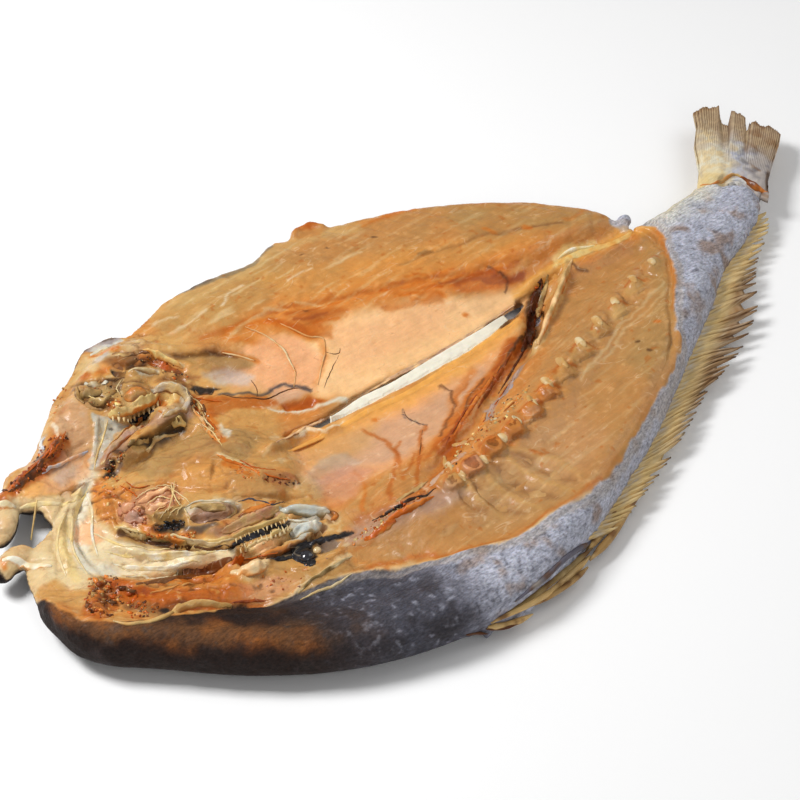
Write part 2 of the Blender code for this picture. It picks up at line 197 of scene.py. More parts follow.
def lineAt(points, x):
    # height of a smooth line at x, without overshoot between its points
    px, py = (np.array(v, float) for v in zip(*points))
    step = np.diff(px)
    slope = np.diff(py) / step
    ends = np.zeros(len(px))
    ends[0] = slope[0]
    ends[-1] = slope[-1]
    same = slope[:-1] * slope[1:] > 0
    mean = 2 * slope[:-1] * slope[1:] / np.where(same, slope[:-1] + slope[1:], 1)
    ends[1:-1] = np.where(same, mean, 0)
    x = np.clip(np.asarray(x, float), px[0], px[-1])
    i = np.clip(np.searchsorted(px, x, side="right") - 1, 0, len(step) - 1)
    t = (x - px[i]) / step[i]
    return (py[i] * (1 + 2 * t) * (1 - t) ** 2 + ends[i] * step[i] * t * (1 - t) ** 2
            + py[i + 1] * t * t * (3 - 2 * t) + ends[i + 1] * step[i] * t * t * (t - 1))


def ease(value, low, high):
    t = np.clip((value - low) / (high - low), 0, 1)
    return t * t * (3 - 2 * t)


def cloud(at, size, seed, octaves=3):
    # soft seeded noise, about -1 to 1, at points in millimetres
    cells = 32
    table = np.random.default_rng(seed).random((cells, cells, cells)) * 2 - 1
    total = np.zeros(len(at))
    weight = 0.0
    for octave in range(octaves):
        p = at / size * 2 ** octave + 5.7 * octave
        low = np.floor(p).astype(int)
        f = p - low
        f = f * f * (3 - 2 * f)
        value = 0
        for corner in range(8):
            pick = np.array([corner & 1, corner >> 1 & 1, corner >> 2 & 1])
            share = np.prod(np.where(pick, f, 1 - f), axis=1)
            i = (low + pick) % cells
            value = value + share * table[i[:, 0], i[:, 1], i[:, 2]]
        total += value * 0.5 ** octave
        weight += 0.5 ** octave
    return total / weight * 1.6


def nearLine(points, x, y):
    # distance of each (x, y) from a line of points, and the share of the line where it is nearest
    points = np.array(points, float)
    best = np.full(len(x), 1e9)
    share = np.zeros(len(x))
    for i, (a, b) in enumerate(zip(points[:-1], points[1:])):
        d = b - a
        t = np.clip(((x - a[0]) * d[0] + (y - a[1]) * d[1]) / max(d @ d, 1e-9), 0, 1)
        far = np.hypot(x - a[0] - t * d[0], y - a[1] - t * d[1])
        share = np.where(far < best, (i + t) / (len(points) - 1), share)
        best = np.minimum(best, far)
    return best, share


def insideOf(points, x, y):
    # distance to a closed outline, positive inside it
    points = np.array(points, float)
    inside = np.zeros(len(x), bool)
    for a, b in zip(points, np.roll(points, -1, 0)):
        crosses = (a[1] > y) != (b[1] > y)
        slope = (b[0] - a[0]) / (b[1] - a[1] if b[1] != a[1] else 1e-9)
        inside ^= crosses & (x < a[0] + slope * (y - a[1]))
    far = nearLine(np.vstack([points, points[:1]]), x, y)[0]
    return np.where(inside, far, -far)


def tint(tone, colour, share):
    # shifts the tones towards a colour of the palette
    tone += (np.array(palette[colour]) - tone) * np.clip(share, 0, 1)[:, None]


def lightOf(colour):
    # a colour as a screen shows it, 0 to 255, as the light it stands for
    part = np.clip(np.asarray(colour, float) / 255, 0, 1)
    return np.where(part > 0.04045, ((part + 0.055) / 1.055) ** 2.4, part / 12.92)


palette = {
    "amber": (204, 134, 66), "tan": (184, 134, 78), "honey": (204, 156, 90), "khaki": (172, 134, 80),
    "orange": (216, 128, 50), "glow": (240, 170, 82), "peach": (255, 208, 152), "blush": (240, 176, 126),
    "clay": (204, 160, 128), "rose": (205, 142, 112), "mauve": (180, 142, 122), "ash": (178, 166, 156),
    "rust": (176, 80, 12), "brick": (140, 62, 26), "ember": (204, 100, 16), "blood": (84, 34, 12),
    "umber": (66, 38, 16), "brown": (120, 76, 40), "walnut": (92, 54, 28), "soot": (24, 20, 20),
    "cream": (224, 202, 158), "ivory": (248, 242, 222), "milk": (226, 222, 204), "fat": (224, 160, 76),
    "butter": (232, 202, 132), "straw": (206, 170, 110), "olive": (134, 108, 62), "moss": (96, 76, 42),
    "lilac": (152, 154, 172), "slate": (98, 95, 106), "silver": (192, 194, 208), "ink": (52, 52, 60),
    "bone": (212, 206, 186), "iceBone": (184, 190, 186), "bark": (24, 8, 1), "chestnut": (112, 56, 12),
}


bodyLines = {   # lines along the body, seen from above
    "farEdge": [(-175, -3), (-173, 3), (-169, 17), (-163, 23), (-156, 26), (-151.5, 29), (-150.5, 50.5),
        (-141, 57.5), (-129, 68), (-123, 74.5), (-113.5, 80), (-106, 86), (-100.5, 89.7), (-90, 89.5),
        (-77, 88.5), (-66, 92), (-50, 92.5), (-30, 90), (-10, 94), (2, 89), (25, 81.5), (41, 73), (58, 62.5),
        (75, 47.5), (86, 32), (88, 22), (100, 20.5), (120, 22.5), (130, 30.5), (138.5, 41.5), (147, 50),
        (156, 55.4), (163.3, 51), (169.7, 27.5)],
    "nearEdge": [(-175, -9), (-174.5, -16), (-172, -23), (-167, -30), (-160, -36.5), (-153, -43), (-146, -50),
        (-138, -57.3), (-128, -65), (-117, -72.2), (-102, -79.5), (-87, -84.4), (-72, -87.3), (-55, -88.2),
        (-40, -86), (-25, -81.2), (-8, -74.5), (12, -66), (32, -56), (52, -44), (72, -32), (87, -23),
        (102, -13), (120, -5.5), (133, 1), (137, 5), (143, 7.5), (152, 14.3), (162, 21.8), (169.7, 26.5)],
    "belly": [(-150, 22), (-68, 16.3), (-50, 15.5), (-35, 15.6), (-18, 14.6), (0, 14.8), (18, 16.1),
        (30, 18.4), (39, 19.5), (60, 21), (95, 18), (170, 30)],
    "fold": [(-150, 45), (-90, 66), (-75, 66), (-60, 61), (-40, 59), (-30, 56), (-10, 46), (10, 36), (30, 30),
        (42, 26), (60, 24), (95, 22), (170, 34)],
    "spine": [(-150, -33), (-100, -39), (-83, -40), (-46, -41), (-34, -38.3), (-12, -32), (9, -24.5),
        (30, -17.2), (52, -9.2), (76, -1.3), (95, 4), (170, 28)],
}

bodySet = {
    "grain": 0.68,          # voxel size of the working mesh
    "underKeep": 0.10,      # share of the triangles kept on the underside
    "coveredKeep": 0.12,    # and below the finer layers
    "finsCutFrom": -84.0,   # the fin along the back is taken off from here on and made as a piece
    "tailCut": [(688, 189), (780, 196)],       # and the tail fin beyond this line
}


def prismOn(name, outline):
    bm = bmesh.new()
    face = bm.faces.new([bm.verts.new((px, py, -10)) for px, py in outline])
    made = bmesh.ops.extrude_face_region(bm, geom=[face])
    raised = [v for v in made["geom"] if isinstance(v, bmesh.types.BMVert)]
    bmesh.ops.translate(bm, verts=raised, vec=(0, 0, 60))
    bmesh.ops.recalc_face_normals(bm, faces=bm.faces)
    setDown(bm)
    return newObject(name, bm)


def finCutters():
    # prisms outside the near edge and beyond the tail's cut
    start, end = (atHeight(px, py, 11.0).xy for px, py in bodySet["tailCut"])
    beyond = Vector((end.y - start.y, start.x - end.x)).normalized() * 90
    if beyond.x < 0:
        beyond = -beyond
    run = (end - start).normalized() * 20
    tail = [start - run, end + run, end + run + beyond, start - run + beyond]
    xs = np.linspace(bodySet["finsCutFrom"], 143.0, 70)
    edge = [(x, float(lineAt(bodyLines["nearEdge"], x)) - 0.5) for x in xs]
    edge += [(143.0, -130.0), (bodySet["finsCutFrom"], -130.0)]
    return [prismOn("tailCutter", [tuple(p) for p in tail]), prismOn("finCutter", edge)]


def keepLargest(bm):
    left = set(bm.verts)
    groups = []
    while left:
        group = set()
        edge = [left.pop()]
        while edge:
            vert = edge.pop()
            group.add(vert)
            for link in vert.link_edges:
                other = link.other_vert(vert)
                if other in left:
                    left.discard(other)
                    edge.append(other)
        groups.append(group)
    groups.sort(key=len)
    for group in groups[:-1]:
        bmesh.ops.delete(bm, geom=list(group), context="VERTS")


def roughBody():
    bm = bmesh.new()
    bm.from_mesh(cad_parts["croaker"].data)
    bmesh.ops.remove_doubles(bm, verts=bm.verts, dist=1e-6)
    bmesh.ops.recalc_face_normals(bm, faces=bm.faces)
    body = newObject("fishBody", bm)
    for cutter in finCutters():
        cut = body.modifiers.new("cut", "BOOLEAN")
        cut.operation = "DIFFERENCE"
        cut.object = cutter
        applyModifiers(body)
        bpy.data.objects.remove(cutter)
    remesh = body.modifiers.new("grain", "REMESH")
    remesh.mode = "VOXEL"
    remesh.voxel_size = bodySet["grain"] * mm
    applyModifiers(body)
    bm = bmesh.new()
    bm.from_mesh(body.data)
    keepLargest(bm)
    bm.to_mesh(body.data)
    bm.free()
    thinOut(body, normalsOf(body.data)[:, 2] < -0.35, bodySet["underKeep"])
    return body


def thinOut(made, chosen, keep):
    # fewer triangles where the mesh doesn't show
    hidden = made.vertex_groups.new(name="hidden")
    hidden.add([int(i) for i in np.flatnonzero(chosen)], 1.0, "REPLACE")
    thin = made.modifiers.new("thin", "DECIMATE")
    thin.vertex_group = "hidden"
    thin.ratio = 1 - float(chosen.mean()) * (1 - keep)
    applyModifiers(made)
    made.vertex_groups.clear()
    print(made.name, "triangles:", sum(len(p.vertices) - 2 for p in made.data.polygons))


def thinCovered(body):
    # the finer layers hide this part of the body
    covered = coveredShare(drawingPoints(body.data)) > 0.95
    thinOut(body, covered & (normalsOf(body.data)[:, 2] > 0.2), bodySet["coveredKeep"])


def readVectors(source, what):
    values = np.zeros(len(source) * 3, np.float32)
    source.foreach_get(what, values)
    return values.reshape(-1, 3).astype(float)


def normalsOf(mesh):
    return readVectors(mesh.vertex_normals, "vector")


def drawingPoints(mesh):
    return readVectors(mesh.vertices, "co") / mm - np.array(drawingShift)


def writePoints(mesh, points):
    mesh.vertices.foreach_set("co", ((points + np.array(drawingShift)) * mm).astype(np.float32).ravel())
    mesh.update()


surface = {}
edgeHeight = 10.0
overAll = 60             # a height above every part of the fish


def learnSurface(*meshes):
    # keeps the fish's surface, so that later pieces can be set on it
    bm = bmesh.new()
    for mesh in meshes:
        bm.from_mesh(mesh)
    bmesh.ops.scale(bm, verts=bm.verts, vec=(1 / mm, 1 / mm, 1 / mm))
    bmesh.ops.translate(bm, verts=bm.verts, vec=-drawingShift)
    surface["tree"] = BVHTree.FromBMesh(bm)
    bm.free()


def onFish(px, py, lift=0.0):
    # the point of the fish which the camera sees at that place, raised by lift
    ray = rayThrough(px, py).normalized()
    spot = surface["tree"].ray_cast(eyePoint(), ray)[0]
    if spot is None:                               # beside the fish: at the height of its edge
        spot = eyePoint() + ray * ((edgeHeight - eyePoint().z) / ray.z)
    return spot + Vector((0, 0, lift))


def lookDown(x, y):
    # the top of the fish at that place, and its normal there
    return surface["tree"].ray_cast(Vector((x, y, overAll)), Vector((0, 0, -1)))[:2]


def onFishLine(points, lift=0.0):
    return [onFish(px, py, lift) for px, py in points]


def flat(points):
    return [(p.x, p.y) for p in onFishLine(points)]


# Marks on the flesh. wide is the half width of a stroke and soft its fading edge, in millimetres.
def patch(tone, share, soft, points, fuzz=1.0):
    return {"tone": tone, "share": share, "soft": soft, "outline": points, "fuzz": fuzz}


def stroke(tone, share, wide, soft, points, fuzz=1.0):
    return {"tone": tone, "share": share, "wide": wide, "soft": soft, "line": points, "fuzz": fuzz}


fleshEdge = [(612, 226), (640, 228), (655, 230), (662, 236), (668, 245), (674, 262), (677, 280), (675, 300),
             (673, 310), (677, 318), (676, 330), (681, 335), (679, 350), (672, 370), (665, 385), (640, 430),
             (610, 475), (590, 492), (560, 510), (540, 530), (500, 545), (450, 558), (410, 570), (370, 572),
             (330, 583), (290, 600), (240, 605), (200, 612), (160, 620), (120, 622), (80, 620), (40, 600),
             (-20, 560), (-20, 300), (200, 100), (612, 180)]

bodyMarks = {
    "farMuscleLeft": patch("honey", 0.8, 14, [(130, 330), (205, 284), (262, 254), (300, 262), (262, 300),
        (190, 345), (140, 352)]),
    "farMuscleTop": patch("tan", 0.7, 10, [(262, 250), (300, 236), (400, 212), (440, 206), (470, 222),
        (420, 248), (340, 262), (280, 276)]),
    "farMuscleRight": patch("khaki", 0.6, 8, [(440, 206), (520, 205), (600, 210), (630, 224), (590, 232),
        (520, 232), (460, 240)]),
    "foldGlow": patch("orange", 0.7, 8, [(240, 315), (330, 285), (400, 268), (480, 252), (540, 240),
        (560, 250), (540, 262), (470, 285), (400, 305), (300, 335), (250, 335)]),
    "farWall": patch("peach", 0.97, 6, [(290, 345), (350, 314), (410, 300), (460, 296), (520, 288), (532, 300),
        (500, 324), (450, 352), (400, 378), (350, 402), (320, 398), (306, 370)]),
    "farWallLight": patch("blush", 0.5, 8, [(330, 330), (400, 312), (450, 305), (440, 330), (380, 358),
        (340, 372)]),
    "farWallLeft": patch("blush", 0.8, 5, [(214, 364), (240, 350), (262, 338), (300, 336), (322, 360),
        (316, 390), (290, 396), (255, 390), (228, 390)]),
    "lobeShade": patch("walnut", 0.5, 5, [(205, 352), (240, 352), (248, 368), (225, 380), (205, 372)]),
    "nearWallClay": patch("blush", 0.85, 5, [(290, 450), (330, 434), (400, 400), (450, 374), (500, 337),
        (516, 330), (505, 360), (480, 400), (440, 440), (390, 470), (330, 490), (300, 480)]),
    "nearWallGlow": stroke("glow", 0.85, 2.6, 3.6, [(300, 446), (330, 434), (370, 414), (410, 396), (450, 372),
        (490, 344), (512, 322)]),
    "slitThread": stroke("ivory", 0.95, 0.3, 0.5, [(262, 455), (278, 448), (292, 441), (306, 434), (324, 425),
        (346, 412)]),
    "nearWallAsh": patch("clay", 0.8, 6, [(350, 436), (430, 404), (480, 366), (490, 372), (450, 424),
        (400, 460), (356, 468)]),
    "nearWallHoney": patch("honey", 0.6, 6, [(300, 450), (340, 434), (380, 420), (372, 446), (330, 470),
        (304, 468)]),
    "nearMuscle": patch("tan", 0.85, 7, [(560, 300), (600, 250), (650, 232), (672, 250), (676, 330),
        (668, 380), (600, 480), (540, 525), (450, 550), (350, 565), (340, 520), (420, 500), (500, 420),
        (550, 350)]),
    "nearMuscleRight": patch("khaki", 0.8, 8, [(640, 235), (668, 250), (674, 300), (676, 345), (650, 380),
        (625, 360), (655, 300)]),
    "nearMusclePale": patch("clay", 0.3, 10, [(520, 440), (580, 400), (610, 440), (570, 490), (520, 520),
        (470, 525), (470, 480)]),
    "nearMuscleShade": patch("khaki", 0.45, 9, [(470, 480), (500, 470), (560, 470), (580, 490), (540, 520),
        (480, 530)]),
    "farOliveTint": patch("olive", 0.22, 12, [(140, 330), (200, 288), (262, 254), (300, 256), (262, 300),
        (200, 342)]),
    "redBand": patch("mauve", 0.6, 5, [(345, 530), (400, 500), (450, 480), (470, 492), (430, 515), (380, 535),
        (350, 545)]),
    "kidney": stroke("umber", 0.95, 1.3, 1.3, [(546, 276), (537, 292), (532, 312), (530, 336), (520, 352)]),
    "kidneyEnd": stroke("rust", 0.6, 1.6, 2.6, [(462, 443), (446, 466), (428, 486), (396, 506), (362, 520)]),
    "kidneyShade": stroke("rust", 0.85, 3.0, 1.8, [(517, 344), (496, 372), (473, 401), (453, 427), (444, 450)]),
    "kidneyLineA": stroke("umber", 0.85, 0.35, 0.5, [(526, 330), (506, 358), (480, 388), (466, 410),
        (452, 432)]),
    "kidneyLineB": stroke("brick", 0.75, 0.35, 0.6, [(512, 344), (490, 370), (474, 392), (460, 414),
        (444, 442)]),
    "kidneyLineC": stroke("ember", 0.7, 0.5, 0.8, [(494, 372), (476, 396), (462, 420), (450, 446)]),
    "kidneyLineD": stroke("cream", 0.5, 0.4, 0.8, [(500, 374), (486, 394), (470, 416), (458, 438)]),
    "kidneyLineE": stroke("rust", 0.65, 0.5, 0.9, [(500, 354), (476, 388), (458, 416), (440, 442), (424, 462)]),
    "kidneyLineF": stroke("orange", 0.55, 1.0, 1.5, [(488, 372), (462, 408), (440, 438), (416, 464)]),
    "kidneyLineG": stroke("walnut", 0.7, 0.25, 0.5, [(482, 378), (472, 396), (462, 412), (456, 426)]),
    "kidneyLineH": stroke("rust", 0.5, 0.4, 0.7, [(466, 384), (452, 406), (444, 424)]),
    "kidneyMembrane": stroke("lilac", 0.8, 1.1, 1.2, [(522, 366), (510, 384), (498, 400), (488, 416)]),
    "kidneyFleck": stroke("ember", 0.5, 1.0, 2.0, [(470, 372), (456, 392), (448, 420)]),
    "spineGlow": stroke("orange", 0.6, 2.2, 2.6, [(560, 372), (534, 396), (508, 420), (480, 446), (450, 474)]),
    "veinOne": stroke("ink", 0.8, 0.22, 0.4, [(404, 410), (409, 419), (413, 421), (424, 425)]),
    "veinOneRust": stroke("rust", 0.75, 0.5, 0.8, [(423, 426), (421, 440), (420, 453), (418, 472), (414, 484)]),
    "veinTwo": stroke("rust", 0.7, 0.5, 0.8, [(366, 430), (378, 435), (388, 445), (394, 456), (393, 476),
        (387, 500)]),
    "veinTwoBranch": stroke("rust", 0.6, 0.35, 0.7, [(398, 443), (394, 452), (400, 474)]),
    "veinThree": stroke("ember", 0.6, 0.4, 0.7, [(355, 471), (362, 478), (364, 488), (363, 512)]),
    "veinFour": stroke("rust", 0.6, 0.4, 0.7, [(414, 455), (409, 467), (402, 478)]),
    "veinSix": stroke("walnut", 0.7, 0.25, 0.5, [(440, 387), (451, 391), (453, 400), (448, 418), (441, 435)]),
    "veinFar": stroke("ember", 0.45, 0.8, 1.6, [(222, 335), (262, 342), (284, 350), (294, 366), (294, 384)]),
    "veinFarB": stroke("ember", 0.4, 0.7, 1.4, [(268, 320), (296, 332), (320, 338), (324, 356), (318, 384)]),
    "ribLightA": stroke("honey", 0.45, 0.7, 1.4, [(506, 446), (527, 451), (553, 459), (578, 476)]),
    "ribLightB": stroke("honey", 0.55, 0.7, 1.4, [(504, 453), (515, 466), (538, 480), (566, 490)]),
    "ribLightC": stroke("honey", 0.55, 0.7, 1.4, [(481, 462), (494, 486), (515, 499), (540, 509)]),
    "ribLightD": stroke("honey", 0.5, 0.7, 1.4, [(461, 474), (478, 499), (500, 516)]),
    "ribShadeA": stroke("brown", 0.4, 0.5, 1.6, [(516, 452), (532, 464), (556, 476), (574, 482)]),
    "ribShadeB": stroke("brown", 0.5, 0.6, 1.6, [(491, 460), (508, 479), (528, 491), (556, 499)]),
    "ribShadeC": stroke("brown", 0.5, 0.6, 1.6, [(469, 472), (481, 493), (501, 507), (520, 514)]),
    "ribShadeD": stroke("brown", 0.4, 0.5, 1.6, [(452, 482), (466, 500), (482, 514)]),
    "ribEmber": stroke("rust", 0.6, 0.6, 0.9, [(530, 451), (541, 455)]),
    "underFat": stroke("umber", 0.9, 0.8, 0.8, [(505, 318), (520, 302), (535, 286), (548, 277), (560, 268)]),
    "fat": stroke("fat", 0.95, 2.4, 1.6, [(650, 226), (625, 238), (600, 250), (575, 258), (558, 266),
        (540, 280), (520, 294)]),
    # painted highlight: a bright butter streak along the top of the fat roll
    "fatHighlight": stroke("butter", 0.8, 1.0, 1.0, [(553, 264), (560, 256), (572, 251), (592, 243)]),
    "fatOrange": stroke("orange", 0.6, 1.0, 1.8, [(634, 240), (612, 248), (596, 255), (580, 262)]),
    "rod": stroke("straw", 0.95, 0.9, 0.6, [(568, 262), (560, 290), (553, 310), (545, 325), (540, 340),
        (530, 355)]),
    "ventShade": stroke("umber", 0.7, 0.4, 0.7, [(566, 262), (574, 268), (584, 272)]),
    "nearMembrane": patch("ash", 0.6, 3.5, [(297, 478), (320, 462), (350, 452), (362, 462), (340, 480),
        (318, 500), (302, 494)]),
    "creamSpot": patch("ivory", 0.95, 0.9, [(268, 438), (276, 435), (281, 440), (275, 446)]),
    "seam": stroke("brown", 0.55, 0.45, 0.8, [(400, 264), (425, 254), (440, 250), (460, 244), (475, 237),
        (490, 233), (510, 232), (520, 228), (545, 224), (560, 222)]),
    "seamDark": stroke("umber", 0.6, 0.6, 0.6, [(418, 254), (430, 252)]),
    "seamSpotA": stroke("ember", 0.8, 1.0, 1.0, [(525, 227), (530, 227)]),
    "seamSpotB": stroke("ember", 0.6, 0.6, 0.8, [(486, 229), (494, 232)]),
    "seamStreak": stroke("ember", 0.4, 0.7, 1.0, [(565, 219), (575, 217), (590, 210)]),
    "foldRed": patch("ember", 0.6, 5.0, [(400, 283), (440, 280), (460, 274), (475, 267), (485, 263),
        (498, 265), (512, 275), (530, 275), (520, 285), (500, 288), (475, 291), (445, 293)]),
    "foldRedCore": stroke("brick", 0.6, 0.8, 1.2, [(450, 282), (475, 276), (490, 270), (505, 278), (522, 279)]),
    "foldVein": stroke("umber", 0.7, 0.3, 0.5, [(490, 265), (500, 272), (507, 279), (504, 292)]),
    "foldStreakA": stroke("ember", 0.55, 0.7, 1.2, [(380, 285), (400, 293), (445, 298)]),
    "foldStreakB": stroke("rust", 0.5, 0.8, 1.4, [(385, 307), (415, 306), (440, 302)]),
    "foldStreakC": stroke("ember", 0.6, 0.8, 1.4, [(225, 330), (262, 320), (290, 328), (330, 330)]),
    "foldStreakD": stroke("rust", 0.6, 0.7, 1.2, [(268, 319), (300, 330), (330, 335)]),
    "foldPatchRed": patch("rust", 0.6, 4.0, [(283, 317), (300, 311), (320, 307), (348, 313), (330, 322),
        (315, 327)]),
    "foldLine": stroke("rust", 0.5, 0.6, 1.2, [(200, 340), (230, 327), (262, 312), (300, 303), (350, 297),
        (400, 282)]),
    "farGlow": patch("fat", 0.38, 9, [(255, 275), (330, 262), (400, 248), (470, 238), (540, 236), (520, 252),
        (430, 272), (350, 292), (290, 304)]),
    "hollowArc": stroke("ink", 0.75, 0.35, 0.7, [(220, 395), (238, 393), (258, 395), (268, 390), (286, 386),
        (300, 387), (314, 391)]),
    "hollowPale": patch("clay", 0.7, 2.4, [(262, 400), (272, 392), (290, 389), (312, 392), (300, 398),
        (282, 404), (270, 410)]),
    "nub": patch("ash", 0.8, 1.4, [(618, 226), (622, 214), (632, 212), (637, 222), (630, 229)]),
    "edgeRed": stroke("ember", 0.6, 1.4, 2.0, [(350, 227), (400, 211), (425, 205), (448, 205)]),
    "edgeTab": patch("rust", 0.85, 1.4, [(293, 240), (295, 230), (310, 225), (329, 229), (318, 236)]),
    "edgeDark": stroke("ink", 0.9, 1.3, 0.8, [(150, 302), (180, 293), (209, 282), (252, 264), (263, 252),
        (272, 245)]),
    "edgeKhaki": stroke("straw", 0.6, 3.0, 2.4, [(150, 312), (209, 288), (262, 258), (300, 238), (350, 228)]),
    # painted highlights: pale ivory and cream wisps on the far muscle
    "wispA": stroke("ivory", 0.6, 0.35, 0.7, [(223, 305), (230, 293), (243, 285)]),
    "wispB": stroke("ivory", 0.6, 0.35, 0.7, [(288, 279), (300, 272), (312, 270)]),
    "wispC": stroke("cream", 0.6, 0.35, 0.7, [(328, 268), (340, 260), (360, 252)]),
    "wispD": stroke("cream", 0.5, 0.35, 0.7, [(297, 300), (325, 305)]),
    "wispE": stroke("cream", 0.5, 0.35, 0.7, [(265, 306), (285, 310)]),
    "wispF": stroke("ivory", 0.45, 0.4, 0.8, [(140, 338), (158, 322), (176, 316)]),
    "wispG": stroke("ivory", 0.45, 0.4, 0.8, [(168, 334), (190, 322), (206, 309)]),
    "dotA": stroke("umber", 0.8, 0.3, 0.5, [(324, 248), (326, 248)]),
    "dotB": stroke("umber", 0.8, 0.3, 0.5, [(301, 255), (303, 255)]),
    "dotC": stroke("umber", 0.8, 0.3, 0.5, [(373, 237), (375, 237)]),
    "dotD": stroke("soot", 0.9, 0.4, 0.5, [(306, 312), (308, 312)]),
    "spotRed": stroke("ember", 0.8, 0.6, 0.8, [(463, 313), (466, 314)]),
    "olivePatch": patch("khaki", 0.8, 2.4, [(218, 356), (240, 352), (256, 358), (250, 368), (225, 370)]),
    "lobeRidge": stroke("ember", 0.6, 0.6, 1.0, [(222, 352), (240, 355), (256, 361)]),
    "paleFuzz": patch("silver", 0.5, 3.0, [(200, 372), (225, 368), (252, 378), (248, 386), (215, 386)]),
    "brownHollow": patch("rust", 0.75, 3.0, [(278, 406), (295, 401), (312, 397), (326, 401), (322, 408),
        (305, 410), (288, 410)]),
    "membraneEdge": stroke("milk", 0.8, 0.5, 0.7, [(258, 403), (268, 411), (280, 413), (300, 412), (312, 410),
        (330, 403), (345, 398)]),
    "leftRust": patch("rust", 0.8, 2.6, [(190, 398), (230, 396), (262, 396), (276, 404), (262, 410),
        (235, 410), (212, 418), (196, 412)]),
    "bluePit": patch("soot", 0.95, 0.9, [(190, 391), (202, 387), (218, 389), (214, 393), (198, 396)]),
    "farPanelLine": stroke("umber", 0.45, 0.4, 0.7, [(172, 355), (195, 356), (219, 354), (232, 357)]),
    "farPanel": patch("khaki", 0.8, 1.6, [(179, 357), (226, 356), (224, 367), (198, 367)]),
    "nearRosy": patch("rose", 0.5, 4.0, [(320, 480), (350, 465), (372, 470), (352, 500), (325, 510)]),
    "nearHollow": patch("brick", 0.7, 2.0, [(262, 474), (280, 472), (298, 477), (298, 488), (275, 486)]),
    "nearHole": stroke("soot", 0.9, 0.6, 0.6, [(295, 484), (299, 484)]),
    "nearSpot": stroke("ember", 0.7, 0.7, 0.8, [(374, 420), (377, 420)]),
    "rightGlow": stroke("ember", 0.35, 0.7, 1.4, [(655, 230), (666, 244), (673, 262), (676, 282), (673, 306)]),
    "rightSpotA": stroke("umber", 0.7, 0.35, 0.5, [(637, 342), (640, 342)]),
    "rightSpotB": stroke("umber", 0.7, 0.35, 0.5, [(649, 350), (652, 351)]),
    "rightSpotC": stroke("ember", 0.8, 0.6, 0.8, [(657, 321), (660, 322)]),
    "rightSlit": stroke("ivory", 0.7, 0.4, 0.5, [(655, 258), (660, 252)]),
    "fibreA": stroke("cream", 0.5, 0.3, 0.7, [(665, 283), (640, 305), (625, 320), (615, 335), (600, 355),
        (580, 378)]),
    "fibreB": stroke("cream", 0.4, 0.3, 0.7, [(668, 290), (645, 311), (629, 326), (618, 341), (604, 361)]),
    "rimLip": stroke("cream", 0.75, 1.5, 1.4, [(588, 494), (560, 513), (540, 532), (500, 546), (450, 559),
        (410, 571), (370, 573), (330, 584), (290, 601)]),
    "rimLipRed": stroke("rust", 0.5, 0.5, 1.0, [(600, 478), (560, 507), (520, 536), (450, 553), (380, 566),
        (330, 576), (290, 592)]),
}

